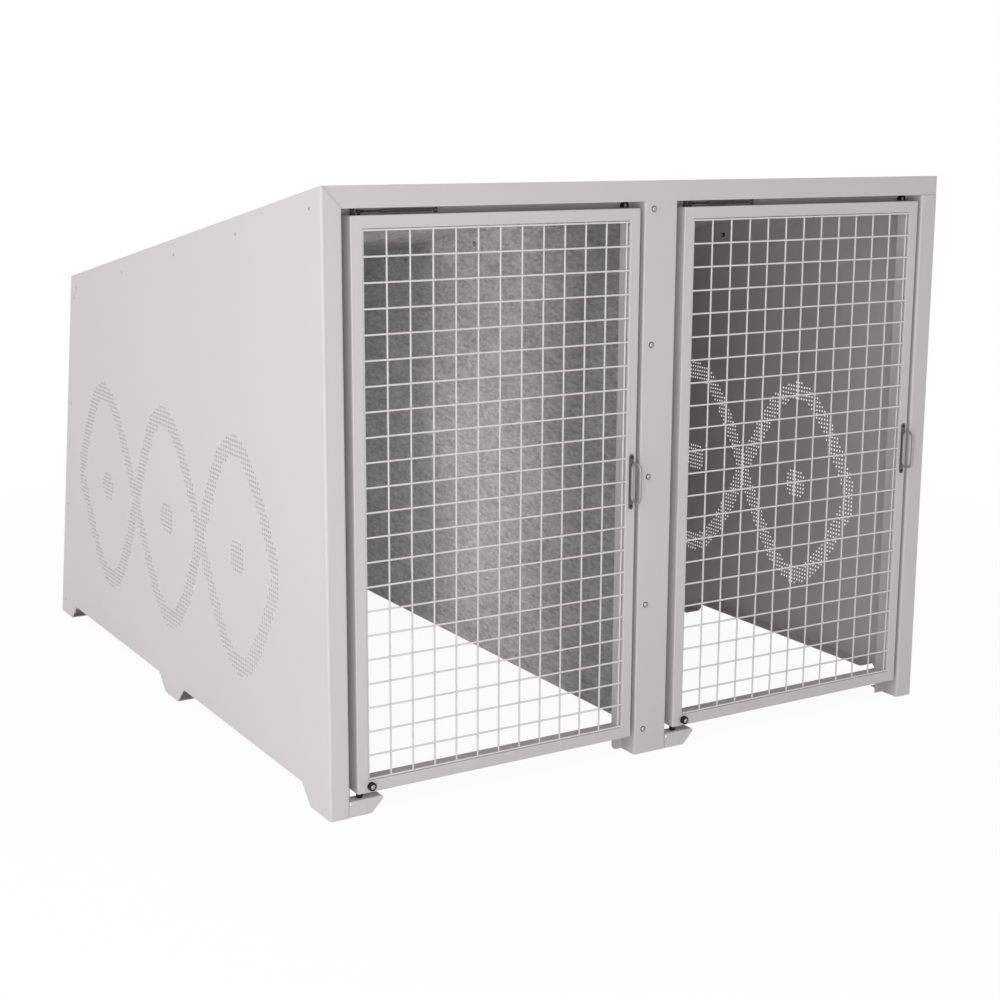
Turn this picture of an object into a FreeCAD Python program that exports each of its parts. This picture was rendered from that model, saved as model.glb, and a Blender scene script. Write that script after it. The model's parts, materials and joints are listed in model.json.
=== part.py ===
import FreeCAD, Part
import math
import os
from FreeCAD import Vector

# Bicycle locker with two bays side by side: folded steel sheet on feet, mesh doors at the front.
# Millimetres. X runs to the right, Y to the rear, Z up. While a piece is drawn, x = 0 is the
# middle partition, y = 0 the front plane and z = 0 the ground. The export moves every piece
# along Y, so that the origin lies on the ground under the middle of the whole locker.

# Overall sizes
BAY_WIDTH = 780.0
FRONT_HEIGHT = 1250.0
BACK_HEIGHT = 966.0
ROOF_DEPTH = 1543.0
GROUND_DEPTH = 1767.0
SHEET = 2.0
BEND = 1.5
BEND_STEPS = 2

# Front frame: flanges of the posts, header, reveal and stop lip
HINGE_FLANGE = 40.0
LATCH_FLANGE = 43.0
HEADER_HEIGHT = 43.0
REVEAL_DEPTH = 50.0
LIP_WIDTH = 25.0
LIP_BOTTOM = 40.0
LIP_ROUND = 12.0

# Feet of the panels
FOOT_LIFT = 41.0
FRONT_FOOT = 92.0
MIDDLE_FOOT = 84.0
MIDDLE_FOOT_CENTRE = 888.0
REAR_FOOT = 92.0
FOOT_FLANGE = 40.0
ANCHOR_HOLE_RADIUS = 6.0
ANCHOR_INSET = 20.0
FRONT_ANCHOR_DEPTH = 72.0
REAR_ANCHOR_DEPTH = 46.0

# Flanges that hold the roof and back sheets between the panels
ROOF_FLANGE = 50.0
BACK_FLANGE = 45.0
FLANGE_START = 6.0
FLANGE_GAP = 1.0
BACK_TOP_FLANGE = 30.0
BACK_HEM = 20.0
BACK_LIFT = 15.0
PARTITION_FLANGE = 36.0

# Panel screws
SCREW_RADIUS = 3.0
SCREW_HOLE_RADIUS = 3.3
SCREW_HEAD_RADIUS = 5.6
SCREW_HEAD_TOP_RADIUS = 3.4
SCREW_HEAD_HEIGHT = 3.3
NUT_RADIUS = 5.8
NUT_HEIGHT = 5.0
SCREW_END = 1.5
THREAD_CLEARANCE = 0.1
ROOF_SCREWS = 5
ROOF_SCREW_INSET = 35.0
ROOF_SCREW_FRONT = 54.0
ROOF_SCREW_REAR = 37.0
BACK_SCREWS = 4
BACK_SCREW_INSET = 30.0
BACK_SCREW_END = 50.0
POST_SCREWS = 5
POST_SCREW_INSET = 21.0
POST_SCREW_BOTTOM = 56.5
POST_SCREW_BELOW_TOP = 58.4

# Small round pieces and their holes have few sides, so that the repeats stay light
FASTENER_SIDES = 6
FITTING_SIDES = 8
BUFFER_SIDES = 12

# Perforated figure of the side panels: slots along two crossing waves, and one hole in each eye
WAVE_START = 235.0
WAVE_EYES = 3
WAVE_EYE_LENGTH = 430.0
WAVE_HEIGHT = 445.0
WAVE_SWING = 245.0
SLOTS_PER_WAVE = 15
SLOT_LENGTH = 64.0
SLOT_WIDTH = 16.0
EYE_HOLE_RADIUS = 24.0

# Door frame and mesh
DOOR_HINGE_GAP = 20.0
DOOR_LATCH_GAP = 11.0
DOOR_TOP_GAP = 13.5
DOOR_BOTTOM = 44.5
TUBE_FACE = 25.0
TUBE_DEPTH = 40.0
TUBE_WALL = 2.0
MESH_COLUMNS = 12
MESH_ROWS = 22
WIRE = 4.0
WIRE_SIDES = 4
MESH_SETBACK = 1.0
MESH_SIDE_MARGIN = 2.2
MESH_LATCH_MARGIN = 6.0
MESH_END_MARGIN = 3.0

# Door pivots
PIVOT_FROM_EDGE = 10.5
PIVOT_DEPTH = 15.0
PIN_RADIUS = 4.0
PIN_HEAD_RADIUS = 7.0
PIN_HEAD_HEIGHT = 4.0
PIN_REACH = 12.0
BUSH_RADIUS = 6.5
SPIGOT_RADIUS = 5.25
SPIGOT_LENGTH = 3.5
UPPER_COLLAR = 3.0
RUNNING_CLEARANCE = 0.06
SEAT_CLEARANCE = 0.1
THRUST_CLEARANCE = 0.2
BRACKET_LENGTH = 77.0
BRACKET_DEPTH = 27.0
BRACKET_HEIGHT = 33.0
BRACKET_NOSE = 6.0
BRACKET_CHAMFER = 26.0

# Gas stay above the door
STAY_ARM = 13.5
STAY_LENGTH = 166.0
STAY_HEIGHT = 6.5
STUD_RADIUS = 3.2
STUD_HEIGHT = 3.2
STUD_SHANK_RADIUS = 2.0
STUD_SHANK = 8.0
EYE_RADIUS = 4.2
EYE_HEIGHT = 6.0
ROD_RADIUS = 1.5
ROD_LENGTH = 110.0
CYLINDER_RADIUS = 2.8
CYLINDER_START = 46.0
CYLINDER_END = 8.0
STAY_BOLT_RADIUS = 2.5
STAY_BOLT_HEAD_RADIUS = 4.5
STAY_BOLT_HEAD = 2.2
ROD_CLEARANCE = 0.1

# Rubber buffers
BUFFER_RADIUS = 8.75
BUFFER_HEIGHT = 10.0
BUFFER_CHAMFER = 2.0
BUFFER_FROM_STILE = 4.8
BUFFER_ABOVE_EDGE = 13.8
BUFFER_FROM_LIP_EDGE = 4.0
BUFFER_BELOW_HEADER = 9.5
STOP_CLEARANCE = 0.3
BUFFER_BOLT_RADIUS = 2.5
BUFFER_BOLT_HEAD_RADIUS = 5.2
BUFFER_BOLT_HEAD = 4.0
BUFFER_BOLT_PROUD = 2.0

# Bow handle
HANDLE_CENTRE = 618.0
HANDLE_HOLES = 106.0
HANDLE_WIDTH = 12.0
HANDLE_BAR = 7.0
HANDLE_REACH = 38.0
HANDLE_END = 7.0
HANDLE_FOOT = 14.0
HANDLE_SPREAD = 6.0
HANDLE_BEND = 5.0
HANDLE_SCREW_RADIUS = 2.0
HANDLE_SCREW_HEAD_RADIUS = 4.0
HANDLE_SCREW_HEAD_TOP_RADIUS = 2.8
HANDLE_SCREW_HEAD = 2.2
HANDLE_SCREW_REACH = 5.0

# Worked-out places
OPENING_TOP = FRONT_HEIGHT - HEADER_HEIGHT
OPENING_WIDTH = BAY_WIDTH - HINGE_FLANGE - LATCH_FLANGE
DOOR_WIDTH = OPENING_WIDTH - DOOR_HINGE_GAP - DOOR_LATCH_GAP
DOOR_TOP = OPENING_TOP - DOOR_TOP_GAP
LIP_FACE = REVEAL_DEPTH
LIP_BACK = REVEAL_DEPTH + SHEET
HALF = SHEET / 2
REST_CENTRE_Y = (GROUND_DEPTH - HANDLE_REACH) / 2
FAR = 3000.0

# Roof and rear edges of the panels, as unit directions in the (y, z) plane
ROOF_LENGTH = math.hypot(ROOF_DEPTH, FRONT_HEIGHT - BACK_HEIGHT)
ROOF_RUN = (ROOF_DEPTH / ROOF_LENGTH, (BACK_HEIGHT - FRONT_HEIGHT) / ROOF_LENGTH)
BACK_LENGTH = math.hypot(GROUND_DEPTH - ROOF_DEPTH, BACK_HEIGHT)
BACK_RUN = ((GROUND_DEPTH - ROOF_DEPTH) / BACK_LENGTH, -BACK_HEIGHT / BACK_LENGTH)
CORNER_ANGLE = math.acos(-(ROOF_RUN[0] * BACK_RUN[0] + ROOF_RUN[1] * BACK_RUN[1]))
CORNER_MITRE = 1 / math.tan(CORNER_ANGLE / 2)


def roof_point(along, inset):
    """(y, z) at a distance along the roof edge from its front end, and inwards from the edge."""
    y = ROOF_RUN[0] * along + ROOF_RUN[1] * inset
    z = FRONT_HEIGHT + ROOF_RUN[1] * along - ROOF_RUN[0] * inset
    return (y, z)


def roof_level(y, inset):
    """(y, z) at a given y, inwards from the roof edge."""
    return roof_point((y - ROOF_RUN[1] * inset) / ROOF_RUN[0], inset)


def back_point(along, inset):
    """(y, z) at a distance down the rear edge from its top end, and inwards from the edge."""
    y = ROOF_DEPTH + BACK_RUN[0] * along + BACK_RUN[1] * inset
    z = BACK_HEIGHT + BACK_RUN[1] * along - BACK_RUN[0] * inset
    return (y, z)


def prism_x(outline, x0, x1):
    """Closed (y, z) outline, from x0 to x1."""
    return flat_face([Vector(x0, y, z) for y, z in outline]).extrude(Vector(x1 - x0, 0, 0))


def prism_y(outline, y0, y1):
    """Closed (x, z) outline, from y0 to y1."""
    return flat_face([Vector(x, y0, z) for x, z in outline]).extrude(Vector(0, y1 - y0, 0))


def block(x0, x1, y0, y1, z0, z1):
    return Part.makeBox(x1 - x0, y1 - y0, z1 - z0, Vector(x0, y0, z0))


def rod(radius, start, end):
    """Round bar between two points."""
    run = end.sub(start)
    return Part.makeCylinder(radius, run.Length, start, run)


def ring(middle, along, radius, sides):
    """Points around a middle, square to a direction."""
    side = Vector(0, 0, 1) if abs(along.z) < along.Length / 2 else Vector(1, 0, 0)
    across = Vector(along).normalize().cross(side)
    points = []
    for step in range(sides):
        angle = 2 * math.pi * step / sides
        points.append(middle + side * (radius * math.cos(angle)) + across * (radius * math.sin(angle)))
    return points


def flat_face(points):
    return Part.Face(Part.makePolygon(points + points[:1]))


def few_sided_bar(radius, start, end, sides):
    """Bar between two points, with its corners at the radius."""
    run = end.sub(start)
    return flat_face(ring(start, run, radius, sides)).extrude(run)


def few_sided_hole(radius, start, end, sides):
    """What is cut for a hole between two points, with its flats at the radius."""
    return few_sided_bar(radius / math.cos(math.pi / sides), start, end, sides)


def tapered_bar(start_radius, end_radius, start, end, sides):
    """Bar between two points whose flats lean in towards its narrower end."""
    run = end.sub(start)
    wide = ring(start, run, start_radius, sides)
    narrow = ring(end, run, end_radius, sides)
    faces = [flat_face(wide), flat_face(narrow)]
    for step in range(sides):
        faces.append(flat_face([wide[step - 1], wide[step], narrow[step], narrow[step - 1]]))
    shell = Part.makeShell(faces)
    shell.sewShape()
    body = Part.makeSolid(shell)
    if body.Volume < 0:
        body.reverse()
    return body


def cut_all(shape, tools):
    return shape.cut(Part.makeCompound(tools))


def fuse_all(shapes):
    return shapes[0].multiFuse(shapes[1:]).removeSplitter()


def offset_line(path, distance):
    """The path moved to its left by a distance, with its corners mitred."""
    normals = []
    for (u0, v0), (u1, v1) in zip(path, path[1:]):
        length = math.hypot(u1 - u0, v1 - v0)
        normals.append(((v0 - v1) / length, (u1 - u0) / length))
    first = normals[:1] + normals
    last = normals + normals[-1:]
    moved = []
    for (u, v), (au, av), (bu, bv) in zip(path, first, last):
        scale = distance / (1 + au * bu + av * bv)
        moved.append((u + (au + bu) * scale, v + (av + bv) * scale))
    return moved


def rounded_edges(path, radii, place):
    """Edges along a path whose inner corners are rounded, in a few steps, by the given radii."""
    edges = []
    start = path[0]
    for before, corner, after, radius in zip(path, path[1:], path[2:], radii):
        a = (before[0] - corner[0], before[1] - corner[1])
        b = (after[0] - corner[0], after[1] - corner[1])
        a_length = math.hypot(*a)
        b_length = math.hypot(*b)
        a = (a[0] / a_length, a[1] / a_length)
        b = (b[0] / b_length, b[1] / b_length)
        half = math.acos(max(-1.0, min(1.0, a[0] * b[0] + a[1] * b[1]))) / 2
        if radius == 0:
            edges.append(Part.makeLine(place(*start), place(*corner)))
            start = corner
            continue
        bisector = (a[0] + b[0], a[1] + b[1])
        size = math.hypot(*bisector)
        reach = radius / math.sin(half)
        centre = (corner[0] + bisector[0] / size * reach, corner[1] + bisector[1] / size * reach)
        first = math.atan2(corner[1] + a[1] * radius / math.tan(half) - centre[1],
                           corner[0] + a[0] * radius / math.tan(half) - centre[0])
        turn = a[1] * b[0] - a[0] * b[1]
        sweep = math.copysign(math.pi - 2 * half, turn)
        for step in range(BEND_STEPS + 1):
            angle = first + sweep * step / BEND_STEPS
            point = (centre[0] + radius * math.cos(angle), centre[1] + radius * math.sin(angle))
            edges.append(Part.makeLine(place(*start), place(*point)))
            start = point
    edges.append(Part.makeLine(place(*start), place(*path[-1])))
    return edges


def folded(path, place, extrusion, thickness=SHEET, bend=BEND):
    """Sheet folded along a path on its visible face, with the metal to the left of the path."""
    back = offset_line(path, thickness)
    face_radii = []
    back_radii = []
    for before, corner, after in zip(path, path[1:], path[2:]):
        turn = ((corner[0] - before[0]) * (after[1] - corner[1])
                - (corner[1] - before[1]) * (after[0] - corner[0]))
        outer = bend + thickness if bend else 0
        face_radii.append(outer if turn > 0 else bend)
        back_radii.append(bend if turn > 0 else outer)
    edges = rounded_edges(path, face_radii, place)
    edges.append(Part.makeLine(place(*path[-1]), place(*back[-1])))
    edges += rounded_edges(back[::-1], back_radii[::-1], place)
    edges.append(Part.makeLine(place(*back[0]), place(*path[0])))
    return Part.Face(Part.Wire(edges)).extrude(extrusion)


def plan(x, y):
    return Vector(x, y, 0)


def side_plane(x):
    return lambda y, z: Vector(x, y, z)


# Panels, posts and partition

def bottom_edge(feet):
    """(y, z) line along the ground edge of a panel, over its feet, from front to rear."""
    line = []
    for front, rear in feet:
        if front > 0:
            line.append((front - FOOT_LIFT, FOOT_LIFT))
        line.append((front, 0.0))
        line.append((rear, 0.0))
        if rear < GROUND_DEPTH:
            line.append((rear + FOOT_LIFT, FOOT_LIFT))
    return line


def panel_outline(feet):
    return bottom_edge(feet) + [(ROOF_DEPTH, BACK_HEIGHT), (0.0, FRONT_HEIGHT)]


END_FEET = [(0.0, FRONT_FOOT), (GROUND_DEPTH - REAR_FOOT, GROUND_DEPTH)]
ALL_FEET = [END_FEET[0],
            (MIDDLE_FOOT_CENTRE - MIDDLE_FOOT / 2, MIDDLE_FOOT_CENTRE + MIDDLE_FOOT / 2),
            END_FEET[1]]
ANCHOR_DEPTHS = [FRONT_ANCHOR_DEPTH, MIDDLE_FOOT_CENTRE, GROUND_DEPTH - REAR_ANCHOR_DEPTH]


def roof_screw_places():
    pitch = (ROOF_LENGTH - ROOF_SCREW_FRONT - ROOF_SCREW_REAR) / (ROOF_SCREWS - 1)
    return [roof_point(ROOF_SCREW_FRONT + pitch * i, ROOF_SCREW_INSET) for i in range(ROOF_SCREWS)]


def back_screw_places():
    pitch = (BACK_LENGTH - 2 * BACK_SCREW_END) / (BACK_SCREWS - 1)
    return [back_point(BACK_SCREW_END + pitch * i, BACK_SCREW_INSET) for i in range(BACK_SCREWS)]


def sheet_screw_places():
    return roof_screw_places() + back_screw_places()


def cross_holes(x0, x1):
    """Clearance holes along X for the screws that hold the roof and back sheets."""
    return [few_sided_hole(SCREW_HOLE_RADIUS, Vector(x0, y, z), Vector(x1, y, z), FASTENER_SIDES)
            for y, z in sheet_screw_places()]


def foot_strip(feet, front, x0, x1, hole_x, anchors):
    """The turned-in ground edge of a panel, with a hole for an anchor in each foot."""
    line = bottom_edge(feet)
    line[0] = (front, 0.0)
    strip = folded(line, side_plane(x0), Vector(x1 - x0, 0, 0), bend=0)
    holes = [rod(ANCHOR_HOLE_RADIUS, Vector(hole_x, y, -SHEET), Vector(hole_x, y, 2 * SHEET))
             for y in anchors]
    return cut_all(strip, holes)


def lip_end(root, tip):
    """What is cut from the lower end of a stop lip, which has a rounded corner at its tip."""
    inward = math.copysign(LIP_ROUND, root - tip)
    outline = [(root, -SHEET), (tip - inward, -SHEET), (tip - inward, LIP_BOTTOM + LIP_ROUND),
               (tip, LIP_BOTTOM + LIP_ROUND)]
    for step in range(1, 4):
        angle = math.pi / 2 * step / 4
        outline.append((tip + inward * (1 - math.cos(angle)),
                        LIP_BOTTOM + LIP_ROUND * (1 - math.sin(angle))))
    outline += [(tip + inward, LIP_BOTTOM), (root, LIP_BOTTOM)]
    return prism_y(outline, LIP_FACE, LIP_BACK + BEND)


def wave_slots(x0, x1):
    """What is cut for the figure: four-cornered slots along two mirrored waves, and a hole in each eye."""
    length = WAVE_EYES * WAVE_EYE_LENGTH
    cuts = []
    for sign in (-1, 1):
        for slot in range(SLOTS_PER_WAVE):
            y = length * (slot + 0.5) / SLOTS_PER_WAVE
            z = sign * WAVE_SWING * math.sin(math.pi * y / WAVE_EYE_LENGTH)
            slope = sign * WAVE_SWING * math.pi / WAVE_EYE_LENGTH * math.cos(math.pi * y / WAVE_EYE_LENGTH)
            size = math.hypot(1, slope)
            along = (SLOT_LENGTH / 2 / size, SLOT_LENGTH / 2 * slope / size)
            across = (-SLOT_WIDTH / 2 * slope / size, SLOT_WIDTH / 2 / size)
            outline = [(WAVE_START + y + i * along[0] + j * across[0],
                        WAVE_HEIGHT + z + i * along[1] + j * across[1])
                       for i, j in ((-1, -1), (1, -1), (1, 1), (-1, 1))]
            cuts.append(prism_x(outline, x0, x1))
    for eye in range(WAVE_EYES):
        y = WAVE_START + WAVE_EYE_LENGTH * (eye + 0.5)
        cuts.append(few_sided_bar(EYE_HOLE_RADIUS, Vector(x0, y, WAVE_HEIGHT), Vector(x1, y, WAVE_HEIGHT),
                                  FITTING_SIDES))
    return cuts


def side_panel(flange, mitred):
    """Left outer panel, with its front edge folded into a post. The right one is its mirror image."""
    outer = -BAY_WIDTH
    opening = outer + flange
    tip = opening + LIP_WIDTH
    path = [(outer, GROUND_DEPTH), (outer, 0.0), (opening, 0.0), (opening, LIP_FACE), (tip, LIP_FACE)]
    shell = folded(path, plan, Vector(0, 0, FRONT_HEIGHT))
    shell = shell.common(prism_x(panel_outline(ALL_FEET), outer, tip))
    corner = outer if mitred else outer - SHEET
    header = [(corner, FRONT_HEIGHT if mitred else OPENING_TOP), (opening, OPENING_TOP),
              (opening + SHEET, OPENING_TOP), (opening + SHEET, FRONT_HEIGHT + SHEET),
              (corner, FRONT_HEIGHT + SHEET)]
    cuts = [prism_y(header, 0, SHEET),
            block(outer + SHEET, tip, SHEET, LIP_BACK, OPENING_TOP, FRONT_HEIGHT),
            lip_end(opening, tip)]
    cuts += wave_slots(outer - SHEET, outer + 2 * SHEET)
    shell = cut_all(shell, cuts + cross_holes(outer - SHEET, outer + 2 * SHEET))
    strip = foot_strip(ALL_FEET, SHEET, outer + HALF, outer + FOOT_FLANGE, outer + ANCHOR_INSET,
                       ANCHOR_DEPTHS)
    return fuse_all([shell, strip])


def mid_post():
    """Hat section between the doors. Its right half is mitred to the right bay's header."""
    path = [(-LATCH_FLANGE - LIP_WIDTH, LIP_FACE), (-LATCH_FLANGE, LIP_FACE), (-LATCH_FLANGE, 0.0),
            (HINGE_FLANGE, 0.0), (HINGE_FLANGE, LIP_FACE), (HINGE_FLANGE + LIP_WIDTH, LIP_FACE)]
    post = folded(path, plan, Vector(0, 0, FRONT_HEIGHT))
    reach = HINGE_FLANGE + LIP_WIDTH
    mitre = [(0.0, FRONT_HEIGHT), (HINGE_FLANGE, OPENING_TOP), (reach, OPENING_TOP),
             (reach, FRONT_HEIGHT + SHEET), (0.0, FRONT_HEIGHT + SHEET)]
    cuts = [block(-LATCH_FLANGE - LIP_WIDTH, 0, 0, LIP_BACK, OPENING_TOP, FRONT_HEIGHT),
            prism_y(mitre, 0, LIP_BACK),
            block(-BEND, HINGE_FLANGE, SHEET, LIP_BACK, OPENING_TOP, FRONT_HEIGHT),
            lip_end(-LATCH_FLANGE, -LATCH_FLANGE - LIP_WIDTH),
            lip_end(HINGE_FLANGE, HINGE_FLANGE + LIP_WIDTH)]
    for z in post_screw_heights():
        cuts.append(few_sided_hole(SCREW_HOLE_RADIUS, Vector(-POST_SCREW_INSET, -SHEET, z),
                                   Vector(-POST_SCREW_INSET, 2 * SHEET, z), FASTENER_SIDES))
    return cut_all(post, cuts)


def post_screw_heights():
    pitch = (FRONT_HEIGHT - POST_SCREW_BELOW_TOP - POST_SCREW_BOTTOM) / (POST_SCREWS - 1)
    return [POST_SCREW_BOTTOM + pitch * i for i in range(POST_SCREWS)]


def partition():
    """Sheet between the bays, flanged behind the middle post, on a front and a rear foot."""
    path = [(HALF - PARTITION_FLANGE, SHEET), (HALF, SHEET), (HALF, GROUND_DEPTH)]
    shell = folded(path, plan, Vector(0, 0, FRONT_HEIGHT))
    shell = shell.common(prism_x(panel_outline(END_FEET), -PARTITION_FLANGE, HALF))
    cuts = [block(-PARTITION_FLANGE, -HALF, 0, FLANGE_START, OPENING_TOP, FRONT_HEIGHT)]
    for z in post_screw_heights():
        cuts.append(few_sided_hole(SCREW_HOLE_RADIUS, Vector(-POST_SCREW_INSET, 0, z),
                                   Vector(-POST_SCREW_INSET, 3 * SHEET, z), FASTENER_SIDES))
    shell = cut_all(shell, cuts + cross_holes(-SHEET, SHEET))
    strip = foot_strip(END_FEET, 2 * SHEET, 0.0, HINGE_FLANGE - SHEET - BEND, ANCHOR_INSET,
                       [ANCHOR_DEPTHS[0], ANCHOR_DEPTHS[-1]])
    return fuse_all([shell, strip])


# Roof and back sheets

def roof(bay, left, right):
    """Roof sheet of the bay that starts at x = bay, folded down into the header and stop lip."""
    opening = (bay + HINGE_FLANGE, bay + BAY_WIDTH - LATCH_FLANGE)
    path = [(ROOF_DEPTH, BACK_HEIGHT), (0.0, FRONT_HEIGHT), (0.0, OPENING_TOP),
            (LIP_FACE, OPENING_TOP), (LIP_FACE, OPENING_TOP - LIP_WIDTH)]
    sheet = folded(path, side_plane(left), Vector(right - left, 0, 0))
    low = OPENING_TOP - LIP_WIDTH
    high = OPENING_TOP + HEADER_HEIGHT / 2
    cuts = [block(left, opening[0] - SHEET, 0, LIP_BACK, low, high),
            block(opening[1] + SHEET, right, 0, LIP_BACK, low, high),
            block(left, opening[0] + LIP_WIDTH, 0, LIP_BACK, low, OPENING_TOP),
            block(opening[1] - LIP_WIDTH, right, 0, LIP_BACK, low, OPENING_TOP),
            block(left, right, -SHEET, SHEET, high, FRONT_HEIGHT + SHEET),
            block(left, opening[0], 0, SHEET, low, high)]
    sheet = cut_all(sheet, cuts)
    face = prism_y([(bay, FRONT_HEIGHT), (bay + BAY_WIDTH, FRONT_HEIGHT),
                    (bay + BAY_WIDTH, OPENING_TOP), (opening[0], OPENING_TOP)], 0, SHEET)
    face = face.common(prism_x(panel_outline(END_FEET), bay, bay + BAY_WIDTH))
    flange = [roof_level(FLANGE_START, HALF),
              roof_point(ROOF_LENGTH - CORNER_MITRE * HALF - FLANGE_GAP, HALF),
              roof_point(ROOF_LENGTH - CORNER_MITRE * ROOF_FLANGE - FLANGE_GAP, ROOF_FLANGE),
              roof_level(FLANGE_START, ROOF_FLANGE)]
    sides = [prism_x(flange, left, left + SHEET), prism_x(flange, right - SHEET, right)]
    whole = fuse_all([sheet, face] + sides)
    pivot = Vector(bay + HINGE_FLANGE + DOOR_HINGE_GAP + PIVOT_FROM_EDGE, PIVOT_DEPTH, OPENING_TOP)
    bolt = pivot + Vector(STAY_ARM + STAY_LENGTH, 0, 0)
    up = Vector(0, 0, 2 * SHEET)
    holes = [few_sided_hole(PIN_RADIUS + SEAT_CLEARANCE, pivot - up, pivot + up, FITTING_SIDES),
             few_sided_hole(STAY_BOLT_RADIUS + SEAT_CLEARANCE, bolt - up, bolt + up, FITTING_SIDES)]
    return cut_all(whole, holes + cross_holes(left - SHEET, left + 2 * SHEET)
                   + cross_holes(right - 2 * SHEET, right + SHEET))


def back(left, right):
    """Leaning back sheet, tucked under the roof and hemmed at the bottom."""
    down = (BACK_HEIGHT - BACK_LIFT) / BACK_HEIGHT * BACK_LENGTH
    bottom = back_point(down, 0)
    top = back_point(SHEET / math.sin(CORNER_ANGLE), 0)
    path = [(bottom[0] - BACK_HEM, bottom[1]), bottom, top,
            (top[0] - ROOF_RUN[0] * BACK_TOP_FLANGE, top[1] - ROOF_RUN[1] * BACK_TOP_FLANGE)]
    sheet = folded(path, side_plane(left + SHEET), Vector(right - left - 2 * SHEET, 0, 0))
    flange = [back_point(FLANGE_GAP, 0), back_point(BACK_LENGTH, 0),
              back_point(BACK_LENGTH, BACK_FLANGE),
              back_point(CORNER_MITRE * BACK_FLANGE + FLANGE_GAP, BACK_FLANGE)]
    sides = [prism_x(flange, left, left + SHEET), prism_x(flange, right - SHEET, right)]
    roof_sheet = prism_x([roof_point(0, -SHEET), roof_point(FAR, -SHEET),
                          roof_point(FAR, SHEET), roof_point(0, SHEET)], left, right)
    ground = block(left, right, 0, FAR, -FAR, BACK_LIFT)
    sides = [side.cut(roof_sheet).cut(ground) for side in sides]
    return cut_all(fuse_all([sheet] + sides), cross_holes(left - SHEET, left + 2 * SHEET)
                   + cross_holes(right - 2 * SHEET, right + SHEET))


# Fasteners

def screw(seat, direction, grip, radius=SCREW_RADIUS, head_radius=SCREW_HEAD_RADIUS,
          top_radius=SCREW_HEAD_TOP_RADIUS, head_height=SCREW_HEAD_HEIGHT):
    """Button-head screw whose head sits at a point and whose shank runs along a direction."""
    head = tapered_bar(head_radius, top_radius, seat, seat - direction * head_height, FITTING_SIDES)
    return head.fuse(few_sided_bar(radius, seat, seat + direction * grip, FASTENER_SIDES)).removeSplitter()


def nut(seat, direction, radius=NUT_RADIUS, height=NUT_HEIGHT, bore=SCREW_RADIUS):
    """Hexagon nut that sits at a point, with its height along a direction."""
    body = few_sided_bar(radius, seat, seat + direction * height, 6)
    return body.cut(few_sided_hole(bore + THREAD_CLEARANCE, seat - direction,
                                   seat + direction * (height + 1), FASTENER_SIDES))


def screw_group(places, direction, sheets):
    grip = sheets * SHEET + NUT_HEIGHT + SCREW_END
    return Part.makeCompound([screw(place, direction, grip) for place in places])


def nut_group(places, direction, sheets):
    return Part.makeCompound([nut(place + direction * (sheets * SHEET), direction) for place in places])


# Door, drawn for the bay whose left edge is at x = bay

def door_edges(bay):
    left = bay + HINGE_FLANGE + DOOR_HINGE_GAP
    return left, left + DOOR_WIDTH, DOOR_BOTTOM, DOOR_TOP


def pivot_place(bay):
    return door_edges(bay)[0] + PIVOT_FROM_EDGE


def frame_member(outline, hollow, drilled):
    tube = prism_y(outline, 0, TUBE_DEPTH)
    return cut_all(tube, [block(*hollow)] + drilled)


def door_frame(bay):
    """Four square-mitred tubes, welded at the corners."""
    left, right, low, high = door_edges(bay)
    inner = (left + TUBE_FACE, right - TUBE_FACE, low + TUBE_FACE, high - TUBE_FACE)
    depth = (TUBE_WALL, TUBE_DEPTH - TUBE_WALL)
    wall = TUBE_WALL
    pivot = pivot_place(bay)
    seat = SPIGOT_RADIUS + SEAT_CLEARANCE
    buffer_x, buffer_z = buffer_place(bay)
    below = few_sided_hole(seat, Vector(pivot, PIVOT_DEPTH, low - 1),
                           Vector(pivot, PIVOT_DEPTH, low + wall + 1), FITTING_SIDES)
    above = few_sided_hole(seat, Vector(pivot, PIVOT_DEPTH, high - wall - 1),
                           Vector(pivot, PIVOT_DEPTH, high + 1), FITTING_SIDES)
    buffer_hole = few_sided_hole(BUFFER_BOLT_RADIUS + SEAT_CLEARANCE, Vector(buffer_x, -1, buffer_z),
                                 Vector(buffer_x, wall + 1, buffer_z), FASTENER_SIDES)
    stud_x = pivot + STAY_ARM
    stud_hole = few_sided_hole(STUD_SHANK_RADIUS + SEAT_CLEARANCE,
                               Vector(stud_x, PIVOT_DEPTH, high - wall - 1),
                               Vector(stud_x, PIVOT_DEPTH, high + 1), FASTENER_SIDES)
    handle_holes = [few_sided_hole(HANDLE_SCREW_RADIUS + SEAT_CLEARANCE, Vector(handle_place(bay), -1, z),
                                   Vector(handle_place(bay), wall + 1, z), FASTENER_SIDES)
                    for z in handle_heights()]
    return {
        "hinge_stile": frame_member(
            [(left, low), (left, high), (inner[0], inner[3]), (inner[0], inner[2])],
            (left + wall, inner[0] - wall, *depth, low, high), []),
        "latch_stile": frame_member(
            [(right, low), (right, high), (inner[1], inner[3]), (inner[1], inner[2])],
            (inner[1] + wall, right - wall, *depth, low, high), handle_holes),
        "top_rail": frame_member(
            [(left, high), (right, high), (inner[1], inner[3]), (inner[0], inner[3])],
            (left, right, *depth, inner[3] + wall, high - wall), [above, stud_hole]),
        "bottom_rail": frame_member(
            [(left, low), (right, low), (inner[1], inner[2]), (inner[0], inner[2])],
            (left, right, *depth, low + wall, inner[2] - wall), [below, buffer_hole]),
    }


def wire(start, end):
    """Few-sided wire between two points along X or Z, with a corner on its middle plane."""
    return few_sided_bar(WIRE / 2, start, end, WIRE_SIDES)


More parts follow.
